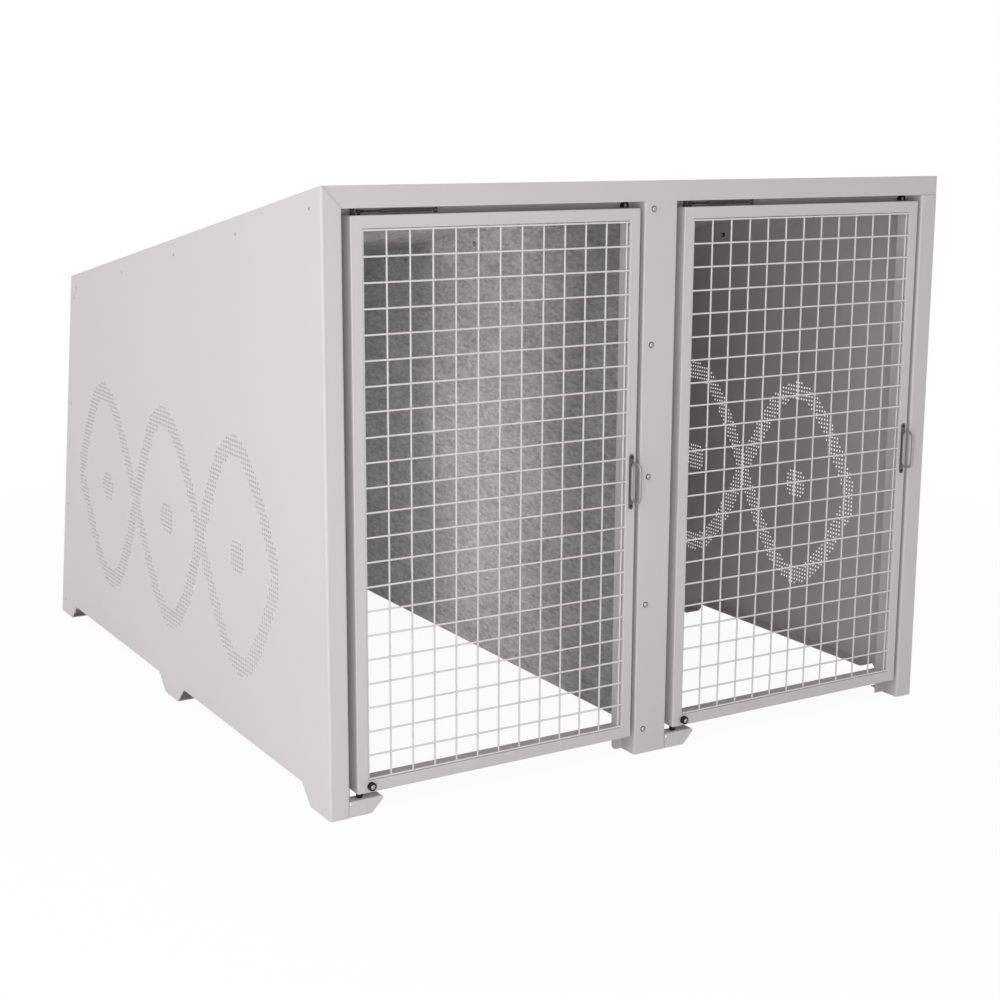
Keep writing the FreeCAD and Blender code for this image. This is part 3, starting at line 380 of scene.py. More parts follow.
def solids(node_name):
    """(lowest corner, highest corner) of each separate solid of a CAD node."""
    bm = merged(node_name)
    left = set(bm.verts)
    found = []
    while left:
        reached = [left.pop()]
        members = []
        while reached:
            vert = reached.pop()
            members.append(vert.co.copy())
            for edge in vert.link_edges:
                other = edge.other_vert(vert)
                if other in left:
                    left.remove(other)
                    reached.append(other)
        found.append([Vector([limit(co[axis] for co in members) for axis in range(3)])
                      for limit in (min, max)])
    bm.free()
    found.sort(key=lambda corners: tuple(round(value, 4) for value in corners[0]))
    return found


def middles(node_name):
    return [(low + high) / 2 for low, high in solids(node_name)]


def copies(master, places):
    """One bmesh with a copy of an object's mesh at each (axis, place); the object is used up."""
    bm = bmesh.new()
    for axis, place in places:
        first = len(bm.verts)
        bm.from_mesh(master.data)
        bm.verts.ensure_lookup_table()
        bmesh.ops.transform(bm, matrix=along(axis, place), verts=bm.verts[first:])
    discard(master)
    return bm


def discard(item):
    mesh = item.data
    bpy.data.objects.remove(item)
    bpy.data.meshes.remove(mesh)


def loose_object(bm, name):
    mesh = bpy.data.meshes.new(name)
    bm.to_mesh(mesh)
    bm.free()
    item = bpy.data.objects.new(name, mesh)
    bpy.context.scene.collection.objects.link(item)
    return item


def apply_modifiers(item):
    bpy.context.view_layer.update()
    evaluated = item.evaluated_get(bpy.context.evaluated_depsgraph_get())
    mesh = bpy.data.meshes.new_from_object(evaluated)
    old = item.data
    item.modifiers.clear()
    item.data = mesh
    bpy.data.meshes.remove(old)


def combine(item, other, operation):
    """Cuts, joins or keeps what two solids share; the second one is used up."""
    tool = loose_object(other, item.name + "_tool")
    modifier = item.modifiers.new(operation.title(), "BOOLEAN")
    modifier.object = tool
    modifier.operation = operation
    modifier.solver = "MANIFOLD"
    apply_modifiers(item)
    discard(tool)


def finish(item, nodes, *materials):
    """Gives a piece the body and slot of the CAD nodes that it stands for, and its materials."""
    slot = SLOTS[nodes[0]]
    slots = item.data.materials
    for place, material in enumerate(materials or (slot,)):
        if place == len(slots):
            slots.append(None)
        slots[place] = bpy.data.materials[material]
    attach(item, BODIES[nodes[0]])
    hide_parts(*nodes)


def piece(solid, name, nodes, *materials, crease=34, weighted=True):
    """Finished piece of a bmesh or of an object: smooth, with crisp corners and faces that stay flat."""
    item = loose_object(solid, name) if isinstance(solid, bmesh.types.BMesh) else solid
    item.name = name
    item.data.shade_smooth()
    item.data.set_sharp_from_angle(angle=math.radians(crease))
    if weighted:
        modifier = item.modifiers.new("Flat faces", "WEIGHTED_NORMAL")
        modifier.keep_sharp = True
        modifier.weight = 50
        apply_modifiers(item)
    finish(item, nodes, *materials)


# Materials

def group(name, inputs):
    """Empty shader node group with named inputs, which puts out a colour, a roughness and a height."""
    tree = bpy.data.node_groups.new(name, "ShaderNodeTree")
    for label, value in inputs.items():
        kind = "NodeSocketFloat" if isinstance(value, float) else "NodeSocketColor"
        tree.interface.new_socket(name=label, in_out="INPUT", socket_type=kind).default_value = value
    for label, kind in (("Colour", "Color"), ("Roughness", "Float"), ("Height", "Float")):
        tree.interface.new_socket(name=label, in_out="OUTPUT", socket_type="NodeSocket" + kind)
    given = tree.nodes.new("NodeGroupInput").outputs
    return tree, given, tree.nodes.new("NodeGroupOutput").inputs


def node(tree, kind, links=(), **settings):
    """New node with its settings, and its inputs linked from sockets or set to values."""
    made = tree.nodes.new(kind)
    for key, value in settings.items():
        setattr(made, key, value)
    for label, source in links:
        if isinstance(source, bpy.types.NodeSocket):
            tree.links.new(source, made.inputs[label])
        else:
            made.inputs[label].default_value = source
    return made


def maths(tree, operation, first, second, kind="Math"):
    return node(tree, "ShaderNode" + kind, [(0, first), (1, second)], operation=operation).outputs[0]


def vectors(tree, operation, first, second):
    return maths(tree, operation, first, second, "VectorMath")


def noise(tree, where, scale, detail=2.0, roughness=0.5, output="Fac"):
    return node(tree, "ShaderNodeTexNoise", [("Vector", where), ("Scale", scale), ("Detail", detail),
                                             ("Roughness", roughness)]).outputs[output]


def stretched(tree, value, low, high, to_low=0.0, to_high=1.0, way="LINEAR"):
    """Value moved from one range to another."""
    return node(tree, "ShaderNodeMapRange", [("Value", value), ("From Min", low), ("From Max", high),
                                             ("To Min", to_low), ("To Max", to_high)],
                interpolation_type=way).outputs[0]


def mixed_colour(tree, share, first, second):
    mix = node(tree, "ShaderNodeMix", [(0, share), (6, first), (7, second)], data_type="RGBA")
    return mix.outputs[2]


def position(tree, output="Object"):
    return node(tree, "ShaderNodeTexCoord").outputs[output]


def put_out(tree, out, *sockets):
    for socket, label in zip(sockets, ("Colour", "Roughness", "Height")):
        tree.links.new(socket, out[label])


def clouded(tree, given, out, cloud, gloss, height):
    """Puts out the given colour and roughness, which a slow noise changes, and a height."""
    centred = maths(tree, "SUBTRACT", cloud, 0.5)
    level = maths(tree, "ADD", maths(tree, "MULTIPLY", centred, given["Tone"]), 1.0)
    tone = vectors(tree, "MULTIPLY", given["Colour"], level)
    rough = maths(tree, "ADD", maths(tree, "MULTIPLY", centred, gloss), given["Roughness"])
    put_out(tree, out, tone, rough, height)


def powder_coat_group():
    """Fine ripple of powder coat, and slow changes of its tone and gloss."""
    tree, given, out = group("powder_coat", {"Colour": (0.6, 0.6, 0.6, 1), "Roughness": 0.4,
                                             "Ripple": 700.0, "Cloud": 3.0, "Tone": 0.03})
    where = position(tree)
    ripple = noise(tree, where, given["Ripple"])
    clouded(tree, given, out, noise(tree, where, given["Cloud"], 4.0, 0.6), 0.16, ripple)


def fine_grain_group():
    """Fine scratches and spots for small metal, rubber and plastic pieces."""
    tree, given, out = group("fine_grain", {"Colour": (0.4, 0.4, 0.4, 1), "Roughness": 0.4,
                                            "Grain": 900.0, "Tone": 0.2})
    where = position(tree)
    grain = noise(tree, where, given["Grain"], 3.0)
    clouded(tree, given, out, noise(tree, where, 130.0), given["Tone"], grain)


def zinc_spangle_group():
    """Crystals of hot-dip zinc, drawn out along Y: fine flecks, slower clouds and a painted sheen, a
    paler and brighter band that stands in for a lamp's reflection.
    """
    tree, given, out = group("zinc_spangle", {
        "Dark": (0.2, 0.2, 0.2, 1), "Light": (0.6, 0.6, 0.6, 1), "Band": (1.0, 1.0, 1.0, 1),
        "Size": 170.0, "Painted Sheen Place": -0.2, "Band Width": 0.42, "Painted Sheen Gain": 0.95})
    where = position(tree)
    drawn = vectors(tree, "MULTIPLY", where, (1.0, 0.45, 1.0))
    rolled = vectors(tree, "MULTIPLY", where, (1.0, 0.12, 1.0))
    warp = vectors(tree, "MULTIPLY", noise(tree, drawn, 90.0, output="Color"), (0.007, 0.007, 0.007))
    cells = node(tree, "ShaderNodeTexVoronoi", [("Vector", vectors(tree, "ADD", drawn, warp)),
                                                ("Scale", given["Size"])], feature="F1")
    grey = node(tree, "ShaderNodeSeparateColor", [("Color", cells.outputs["Color"])]).outputs
    flecks = maths(tree, "ADD", noise(tree, drawn, 95.0, 3.0, 0.6), noise(tree, rolled, 110.0))
    clouds = maths(tree, "ADD", flecks, noise(tree, drawn, 16.0, 3.0, 0.6))
    shade = stretched(tree, clouds, 1.05, 1.95)
    both = node(tree, "ShaderNodeMix", [(0, 0.6), (2, grey[0]), (3, shade)])
    tone = mixed_colour(tree, both.outputs[0], given["Dark"], given["Light"])
    # Painted sheen: a paler, brighter band across Y in the base colour stands in for a lamp's reflection
    # on the sheet.
    y = node(tree, "ShaderNodeSeparateXYZ", [(0, where)]).outputs["Y"]
    away = maths(tree, "DIVIDE", maths(tree, "SUBTRACT", y, given["Painted Sheen Place"]), given["Band Width"])
    wavy = maths(tree, "ADD", maths(tree, "MULTIPLY", away, away), noise(tree, where, 2.5))
    near = stretched(tree, wavy, 1.4, 0.3, way="SMOOTHSTEP")
    painted_sheen_tint = mixed_colour(tree, near, (1.0, 1.0, 1.0, 1.0), given["Band"])
    painted_sheen_gain = maths(tree, "ADD", maths(tree, "MULTIPLY", near, given["Painted Sheen Gain"]), 1.0)
    sheened_tone = vectors(tree, "MULTIPLY", vectors(tree, "MULTIPLY", tone, painted_sheen_tint), painted_sheen_gain)
    put_out(tree, out, sheened_tone, stretched(tree, grey[1], 0.0, 1.0, 0.52, 0.68), grey[2])


def surface(name, effect, values, metallic=0.0, bump=0.1, specular=0.5):
    """Material whose colour, roughness and bump come from one of the effects."""
    material = bpy.data.materials.get(name) or bpy.data.materials.new(name)
    material.use_nodes = True
    tree = material.node_tree
    tree.nodes.clear()
    shader = node(tree, "ShaderNodeBsdfPrincipled", [("Metallic", metallic),
                                                     ("Specular IOR Level", specular)])
    node(tree, "ShaderNodeOutputMaterial", [("Surface", shader.outputs["BSDF"])])
    source = node(tree, "ShaderNodeGroup", node_tree=bpy.data.node_groups[effect])
    for label, value in values.items():
        source.inputs[label].default_value = value if isinstance(value, float) else (*value, 1)
    relief = node(tree, "ShaderNodeBump", [("Height", source.outputs["Height"]), ("Strength", bump),
                                           ("Distance", BUMP_DEPTH)])
    tree.links.new(source.outputs["Colour"], shader.inputs["Base Color"])
    tree.links.new(source.outputs["Roughness"], shader.inputs["Roughness"])
    tree.links.new(relief.outputs["Normal"], shader.inputs["Normal"])
    material.diffuse_color = (*values.get("Colour", values.get("Light")), 1)


class LOCKER_OT_finishes(bpy.types.Operator):
    """Make the finishes of the sheets, doors and fittings"""
    bl_idname = "locker.finishes"
    bl_label = "Finishes"

    def execute(self, context):
        look = context.scene.locker_finishes
        powder_coat_group()
        zinc_spangle_group()
        fine_grain_group()
        surface("frame_paint", "powder_coat", {"Colour": look.frame_paint, "Roughness": look.roughness},
                bump=0.12, specular=0.3)
        surface("door_paint", "powder_coat", {"Colour": look.door_paint, "Roughness": look.roughness},
                bump=0.12, specular=0.3)
        surface("mesh_coating", "powder_coat", {"Colour": look.mesh_coating, "Roughness": 0.38,
                                                "Cloud": 12.0})
        surface("strut_cylinder", "powder_coat", {"Colour": look.cylinder}, bump=0.05, specular=0.4)
        surface("galvanised", "zinc_spangle", {"Dark": look.zinc_dark, "Light": look.zinc_light,
                                               "Band": look.zinc_painted_sheen}, bump=0.05, specular=0.1)
        for name, tone, roughness, metallic, bump, specular in (
                ("zinc_fasteners", look.fastener, 0.34, 0.7, 0.08, 0.5),
                ("dark_fasteners", look.blackened, 0.5, 0.0, 0.08, 0.3),
                ("handle_metal", look.handle, 0.36, 0.55, 0.06, 0.5),
                ("handle_plate", look.plate, 0.5, 0.3, 0.08, 0.5),
                ("black_plastic", look.plastic, 0.5, 0.0, 0.1, 0.2),
                ("strut_rod", look.rod, 0.4, 0.0, 0.02, 0.3)):
            surface(name, "fine_grain", {"Colour": tone, "Roughness": roughness}, metallic, bump,
                    specular)
        surface("black_rubber", "fine_grain", {"Colour": look.rubber, "Roughness": 0.7, "Grain": 1500.0},
                bump=0.25, specular=0.2)
        return {"FINISHED"}


# Side panels

def ground_line(panels):
    """(y, z) along the ground edge, behind the front plane, over the three feet."""
    lift = panels.foot_lift
    middle = panels.middle_foot_place
    half = panels.middle_foot / 2
    depth = REAR - FRONT
    return [(panels.end_foot, 0.0), (panels.end_foot + lift, lift),
            (middle - half - lift, lift), (middle - half, 0.0),
            (middle + half, 0.0), (middle + half + lift, lift),
            (depth - panels.end_foot - lift, lift), (depth - panels.end_foot, 0.0), (depth, 0.0)]


def figure_holes(figure):
    """(y, z) of each hole: two crossing waves and a spot in each eye, on one square grid."""
    wave = figure.eyes * math.pi / figure.run
    columns = int(figure.run / figure.pitch) + 1
    rows = int((figure.swing + figure.band) / figure.pitch) + 1
    eye = figure.run / figure.eyes
    places = []
    for column in range(columns + 1):
        y = column * figure.pitch
        rise = figure.swing * math.sin(wave * y)
        slant = math.hypot(1.0, figure.swing * wave * math.cos(wave * y))
        from_eye = y % eye - eye / 2
        for row in range(-rows, rows + 1):
            z = row * figure.pitch
            in_wave = min(abs(z - rise), abs(z + rise)) / slant <= figure.band / 2
            in_spot = math.hypot(from_eye, z) <= figure.spot
            if in_wave or in_spot:
                places.append((figure.start + y, figure.height + z))
    return places


def figure_cutter(figure, x, reach):
    """Short round pins, one for each hole of the figure."""
    bm = bmesh.new()
    for y, z in figure_holes(figure):
        bmesh.ops.create_circle(bm, cap_ends=True, segments=10, radius=figure.hole,
                                matrix=along(X_AXIS, Vector((x, FRONT + y, z))))
    return thickened(bm, X_AXIS * reach, use_keep_orig=True)


def header_cutter(panels, flange, mitred):
    """What the roof's header takes from the front flange, on a mitre or straight across."""
    past = OUTER + flange + panels.sheet
    under = TOP - panels.header
    if mitred:
        start = (OUTER, TOP)
        end = (past, under - panels.header / flange * panels.sheet)
    else:
        start = (OUTER - FAR, under)
        end = (past, under)
    points = [start, end, (past, TOP + FAR), (start[0], TOP + FAR)]
    return prism([Vector((x, FRONT - FAR, z)) for x, z in points], Y_AXIS * (FAR + panels.sheet))


def lip_cutter(panels, opening, bottom):
    """What is taken from the stop lip below its lower end, with a round corner."""
    tip = opening + panels.lip
    root = opening - panels.sheet
    corner = bottom + panels.lip_round
    points = ([(root, -FAR), (tip + FAR, -FAR), (tip + FAR, corner)]
              + arc(panels.lip_round, (tip - panels.lip_round, corner), 0, -90) + [(root, bottom)])
    face = FRONT + panels.reveal - panels.sheet / 2
    return prism([Vector((x, face, z)) for x, z in points], Y_AXIS * FAR)


def side_panel(panels, figure, flange, mitred, screws):
    """Left outer panel, folded into a post at the front, with feet and the perforated figure."""
    sheet = panels.sheet
    opening = OUTER + flange
    tip = opening + panels.lip
    lip_face = FRONT + panels.reveal
    plan = [(OUTER, REAR + FAR), (OUTER, FRONT), (opening, FRONT), (opening, lip_face), (tip, lip_face)]
    shell = folded([Vector((x, y, -FAR)) for x, y in plan], Z_AXIS * (TOP + 2 * FAR), sheet, panels.fold)
    panel = loose_object(shell, "side_panel")
    fall = (TOP - panels.back_height) / panels.roof_depth
    edge = ([(-FAR, 0.0)] + ground_line(panels)
            + [(panels.roof_depth, panels.back_height), (-FAR, TOP + FAR * fall)])
    side = [Vector((OUTER - FAR, FRONT + y, z)) for y, z in edge]
    combine(panel, prism(side, X_AXIS * (tip - OUTER + 2 * FAR)), "INTERSECT")
    behind_header = box((OUTER + sheet, FRONT + sheet, TOP - panels.header),
                        (tip + FAR, lip_face + 2 * sheet, TOP + FAR))
    lip_bottom = panels.lip_bottom if mitred else 0.0
    for cutter in (header_cutter(panels, flange, mitred), behind_header,
                   lip_cutter(panels, opening, lip_bottom)):
        combine(panel, cutter, "DIFFERENCE")
    ground = [(sheet, 0.0)] + ground_line(panels)
    for (first, bottom), (last, top) in zip(ground, ground[1:]):
        if bottom == top:
            low = Vector((OUTER + sheet / 2, FRONT + first, bottom))
            high = Vector((OUTER + panels.foot_flange, FRONT + last, bottom + sheet))
            combine(panel, box(low, high), "UNION")
    anchors = (FRONT + panels.front_anchor, FRONT + panels.middle_foot_place, REAR - panels.rear_anchor)
    inset = OUTER + panels.anchor_inset
    holes = [bar((inset, y, -FAR), (inset, y, FAR), panels.anchor_radius, 24) for y in anchors]
    holes += [bar((OUTER - FAR, y, z), (OUTER + 2 * sheet, y, z), panels.screw_hole) for y, z in screws]
    combine(panel, joined(holes), "DIFFERENCE")
    combine(panel, figure_cutter(figure, OUTER - sheet, 3 * sheet), "DIFFERENCE")
    return panel


def mirror_at_middle(item):
    """Turns a piece of the left side into its mirror image at the right."""
    bm = bmesh.new()
    bm.from_mesh(item.data)
    bmesh.ops.scale(bm, vec=(-1, 1, 1), verts=bm.verts[:])
    bmesh.ops.reverse_faces(bm, faces=bm.faces[:])
    bm.to_mesh(item.data)
    bm.free()


class LOCKER_OT_side_panels(bpy.types.Operator):
    """Make both side panels with their folds, feet and perforated figure"""
    bl_idname = "locker.side_panels"
    bl_label = "Side panels"

    def execute(self, context):
        panels = context.scene.locker_panels
        figure = context.scene.locker_figure
        screws = [(place.y, place.z) for place in middles("left_side_screws")]
        left = side_panel(panels, figure, panels.hinge_flange, True, screws)
        piece(left, "left_panel", ["left_side_panel"])
        right = side_panel(panels, figure, panels.latch_flange, False, screws)
        mirror_at_middle(right)
        piece(right, "right_panel", ["right_side_panel"])
        return {"FINISHED"}


# Doors

FRAME_PARTS = ("hinge_stile", "latch_stile", "top_rail", "bottom_rail")


class LOCKER_OT_door_frames(bpy.types.Operator):
    """Make the welded door frames with their rounded tube edges"""
    bl_idname = "locker.door_frames"
    bl_label = "Door frames"

    def execute(self, context):
        doors = context.scene.locker_doors
        for side in SIDES:
            parts = [f"{side}_{part}" for part in FRAME_PARTS]
            lows, highs = zip(*[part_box(part) for part in parts])
            low = Vector([min(corner[axis] for corner in lows) for axis in range(3)])
            size = Vector([max(corner[axis] for corner in highs) for axis in range(3)]) - low
            corners = rectangle(low, X_AXIS * size.x, Z_AXIS * size.z)
            ring = thickened(opened(outline(corners), doors.tube), Y_AXIS * size.y, doors.tube_round)
            piece(ring, side + "_door_frame", parts)
        return {"FINISHED"}


class LOCKER_OT_meshes(bpy.types.Operator):
    """Make the welded wire meshes of round wire"""
    bl_idname = "locker.meshes"
    bl_label = "Wire meshes"

    def execute(self, context):
        doors = context.scene.locker_doors
        for side in SIDES:
            wires = []
            for low, high in solids(side + "_mesh"):
                size = high - low
                middle = (low + high) / 2
                reach = X_AXIS * size.x / 2 if size.x > size.z else Z_AXIS * size.z / 2
                wires.append(bar(middle - reach, middle + reach, doors.wire / 2, 12))
            piece(joined(wires), side + "_wires", [side + "_mesh"], weighted=False)
        return {"FINISHED"}


class LOCKER_OT_handles(bpy.types.Operator):
    """Make the handles: a hoop of round bar on a plate with rounded ends, and its two screws"""
    bl_idname = "locker.handles"
    bl_label = "Handles"

    def execute(self, context):
        doors = context.scene.locker_doors
        fittings = context.scene.locker_fittings
        for side in SIDES:
            low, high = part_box(side + "_handle")
            x = (low.x + high.x) / 2
            door = high.y
            face = door - doors.plate
            half = doors.plate_width / 2
            corners = rectangle(Vector((x - half, door, low.z)), X_AXIS * doors.plate_width,
                                Z_AXIS * (high.z - low.z))
            plate = thickened(outline(corners, half * 0.98), -Y_AXIS * doors.plate, FINE_EDGE, 2)
            piece(plate, side + "_handle_plate", [side + "_handle"], "handle_plate")
            corners = rectangle(Vector((x - doors.bar / 2, low.y, low.z + doors.hoop_inset)),
                                Y_AXIS * (face + HOOP_SEAT - low.y),
                                Z_AXIS * (high.z - low.z - 2 * doors.hoop_inset))
            hoop = thickened(opened(outline(corners, doors.hoop_round), doors.bar), X_AXIS * doors.bar,
                             doors.bar * 0.46, 5)
            piece(hoop, side + "_handle_hoop", [side + "_handle"])
            seats = [(Y_AXIS, Vector((screw.x, face, screw.z)))
                     for screw in middles(side + "_handle_screws")]
            master = button_screw(fittings.handle_head, HANDLE_SCREW_HEAD, fittings.handle_shank,
                                  HANDLE_SCREW_LENGTH, fittings.handle_head * 0.4)
            piece(copies(master, seats), side + "_handle_heads", [side + "_handle_screws"],
                  "dark_fasteners", "dark_fasteners")
        return {"FINISHED"}


# Fasteners and fittings

def button_screw(head, height, shank, reach, socket):
    """Screw along Z with a domed head, a flange and a hexagon socket, its seat at the origin."""
    flange = height * 0.24
    dome = head * 0.78
    flat = dome * 0.4
    profile = ([(0.0, -height)] + arc(dome - flat, (flat, -flange), -90, 0, rise=height - flange)
               + [(head, -flange), (head, 0.0), (shank, 0.0), (shank, reach - shank * 0.2),
                  (shank * 0.8, reach), (0.0, reach)])
    screw = loose_object(turned(profile, Vector(), Z_AXIS), "screw")
    deep = height * 0.6
    combine(screw, bar((0, 0, -2 * height), (0, 0, deep - height), socket, 6), "DIFFERENCE")
    # The flange ring round each head gets the second material; where that is dark_fasteners it paints a
    # dark shade line round the head.
    for face in screw.data.polygons:
        beyond = math.hypot(face.center.x, face.center.y) > dome
        face.material_index = int(beyond and face.center.z < 0)
    return screw


def chamfered_nut(radius, height, bore):
    """Hexagon nut on the origin, along Z, with chamfered corners."""
    nut = loose_object(bar((0, 0, 0), (0, 0, height), radius, 6), "nut")
    edge = radius * 0.12
    profile = [(0.0, 0.0), (radius - edge, 0.0), (radius, edge * 0.6), (radius, height - edge * 0.6),
               (radius - edge, height), (0.0, height)]
    combine(nut, turned(profile, Vector(), Z_AXIS), "INTERSECT")
    combine(nut, bar((0, 0, -height), (0, 0, 2 * height), bore, 20), "DIFFERENCE")
    return nut


def head_seats(node_name, axis, height):
    """(axis, place) of each screw of a node: the place where its head sits, its shank along the axis."""
    seats = []
    for low, high in solids(node_name):
        reach = abs((high - low).dot(axis)) / 2
        seats.append((axis, (low + high) / 2 + axis * (height - reach)))
    return seats


class LOCKER_OT_fasteners(bpy.types.Operator):
    """Make the button-head screws and the nuts that hold the sheets"""
    bl_idname = "locker.fasteners"
    bl_label = "Screws and nuts"

    def execute(self, context):
        fittings = context.scene.locker_fittings
        for name, axis in (("left_side", X_AXIS), ("right_side", -X_AXIS), ("partition", X_AXIS),
                           ("mid_post", Y_AXIS)):
            screws = name + "_screws"
            low, high = solids(screws)[0]
            reach = abs((high - low).dot(axis)) - fittings.head_height
            master = button_screw(fittings.head, fittings.head_height, fittings.shank, reach,
                                  fittings.socket)
            # The panel screws' flange rings take dark_fasteners: painted shade round each zinc head.
            piece(copies(master, head_seats(screws, axis, fittings.head_height)),
                  name + "_button_screws", [screws], "zinc_fasteners", "dark_fasteners")
            nuts = name + "_nuts"
            low, high = solids(nuts)[0]
            master = chamfered_nut(fittings.nut, abs((high - low).dot(axis)), fittings.shank * 1.03)
            piece(copies(master, head_seats(nuts, axis, 0.0)), name + "_hexagon_nuts", [nuts],
                  "dark_fasteners")
        return {"FINISHED"}


class LOCKER_OT_buffers(bpy.types.Operator):
    """Make the rubber buffers of the doors and headers, and their bolts"""
    bl_idname = "locker.buffers"
    bl_label = "Rubber buffers"

    def execute(self, context):
        fittings = context.scene.locker_fittings
        head = fittings.bolt_head
        bore = fittings.bolt * BOLT_PLAY
        well = head * 1.02
        for name in [f"{side}_{kind}" for side in SIDES for kind in ("door", "header")]:
            low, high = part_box(name + "_buffer")
            bolt_low, bolt_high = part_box(name + "_buffer_bolt")
            seat = Vector(((low.x + high.x) / 2, high.y, (low.z + high.z) / 2))
            radius = (high.z - low.z) / 2
            height = high.y - low.y
            under_head = high.y - bolt_low.y - fittings.bolt_head_height
            profile = ([(bore, 0.0)] + drum(radius, 0.0, height, FINE_EDGE, fittings.buffer_edge, 2, 5)
                       + [(well, height), (well, under_head), (bore, under_head), (bore, 0.0)])
            piece(turned(profile, seat, -Y_AXIS, 32), name + "_rubber", [name + "_buffer"])
            master = button_screw(head, fittings.bolt_head_height, fittings.bolt,
                                  bolt_high.y - bolt_low.y - fittings.bolt_head_height, head * 0.4)
            place = seat - Y_AXIS * under_head
            piece(copies(master, [(Y_AXIS, place)]), name + "_bolt", [name + "_buffer_bolt"],
                  "zinc_fasteners")
        return {"FINISHED"}


def pivot_bracket(panels, fittings, side):
    """Hollow folded bracket under the hinge corner of a door, with a slanted end and a relief hole."""
    sheet = panels.sheet
    corner = fittings.bracket_round
    low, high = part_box(side + "_pivot_bracket")
    pin_low, pin_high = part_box(side + "_lower_pin")
    pivot = (pin_low + pin_high) / 2
    nose = high.z - fittings.bracket_nose
    foot = high.x - fittings.bracket_slant
    outer = [(low.x - FAR, low.z), (foot, low.z), (high.x, nose), (high.x, high.z),
             (low.x - FAR, high.z)]
    inner = [(low.x + sheet, low.z + sheet), (foot - sheet * 0.5, low.z + sheet),
             (high.x - sheet, nose + sheet * 0.5), (high.x - sheet, high.z - sheet),
             (low.x + sheet, high.z - sheet)]
    run = Y_AXIS * (high.y - low.y + FAR)
    shell = thickened(outline([Vector((x, low.y, z)) for x, z in outer], corner), run, corner)
    item = loose_object(shell, side + "_bracket")
    combine(item, box(low, high + Vector((FAR, 0, FAR))), "INTERSECT")
    corners = [Vector((x, low.y + sheet, z)) for x, z in inner]
    combine(item, thickened(outline(corners, corner - sheet), run, corner - sheet, 2), "DIFFERENCE")
    top = high.z - 2 * sheet
    relief = Vector((low.x + fittings.relief, low.y, high.z - 2 * fittings.relief))
    bore = fittings.pin * BUSH_PLAY
    holes = [bar((pivot.x, pivot.y, top), (pivot.x, pivot.y, high.z + FAR), bore, 24),
             bar(relief - Y_AXIS * FAR, relief + Y_AXIS * 2 * sheet, fittings.relief)]
    combine(item, joined(holes), "DIFFERENCE")
    piece(item, side + "_bracket", [side + "_pivot_bracket"])


class LOCKER_OT_pivots(bpy.types.Operator):
    """Make the pivot brackets, the door pins and their flanged bushes"""
    bl_idname = "locker.pivots"
    bl_label = "Door pivots"

    def execute(self, context):
        fittings = context.scene.locker_fittings
        pin = fittings.pin
        bore = pin * BUSH_PLAY
        edge = PIN_EDGE
        for side in SIDES:
            pivot_bracket(context.scene.locker_panels, fittings, side)
            for end, axis in (("lower", Z_AXIS), ("upper", -Z_AXIS)):
                name = f"{side}_{end}_"
                low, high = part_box(name + "pin")
                middle = (low + high) / 2
                head = (high.x - low.x) / 2
                tip = high.z - low.z
                start = Vector((middle.x, middle.y, low.z if end == "lower" else high.z))
                profile = [(0.0, 0.0), (head - FINE_EDGE, 0.0), (head, FINE_EDGE),
                           (head, fittings.pin_head), (pin, fittings.pin_head), (pin, tip - edge),
                           (pin - edge, tip), (0.0, tip)]
                piece(turned(profile, start, axis), name + "door_pin", [name + "pin"], "dark_fasteners")
                low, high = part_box(name + "bush")
                collar = (high.x - low.x) / 2
                height = high.z - low.z
                spigot = height - fittings.spigot_length
                start.z = low.z if end == "lower" else high.z
                profile = ([(bore, 0.0)] + drum(collar, 0.0, spigot, edge, edge)
                           + [(fittings.spigot, spigot), (fittings.spigot, height), (bore, height),
                              (bore, 0.0)])
                piece(turned(profile, start, axis, 32), name + "door_bush", [name + "bush"])
        return {"FINISHED"}


# Gas stays

def barrel(radius, height, middle):
    """Short upright drum with rounded edges, about a middle."""
    edge = radius * 0.3
    half = height / 2
    profile = [(0.0, -half)] + drum(radius, -half, half, edge, edge) + [(0.0, half)]
    return turned(profile, middle, Z_AXIS)


def stay_stud(fittings, side):
    low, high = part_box(side + "_stay_stud")
    start = Vector(((low.x + high.x) / 2, (low.y + high.y) / 2, low.z))
    height = high.z - low.z
    head = fittings.stud
    neck = height - head
    profile = ([(0.0, 0.0), (STUD_NECK, 0.0), (STUD_NECK, neck), (head, neck)]
               + arc(head * 0.5, (head * 0.5, height - head * 0.5), 0, 90) + [(0.0, height)])
    piece(turned(profile, start, Z_AXIS), side + "_stud", [side + "_stay_stud"])


def stay_rod(fittings, side):
    """Rod with its eye over the stud; gives the eye's middle."""
    eye = fittings.eye
    rod = fittings.rod
    thick = rod * 1.7
    low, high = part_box(side + "_strut_rod")
    middle = (low + high) / 2
    start = Vector((low.x + eye, middle.y, middle.z))
    item = loose_object(barrel(eye, high.z - low.z, start), side + "_rod")
    run = high.x - start.x
    profile = [(0.0, 0.0), (thick, 0.0), (thick, eye * 2.2), (rod, eye * 2.6),
               (rod, run - ROD_EDGE), (rod - ROD_EDGE, run), (0.0, run)]
    combine(item, turned(profile, start, X_AXIS, 20), "UNION")
    piece(item, side + "_rod", [side + "_strut_rod"])
    return start


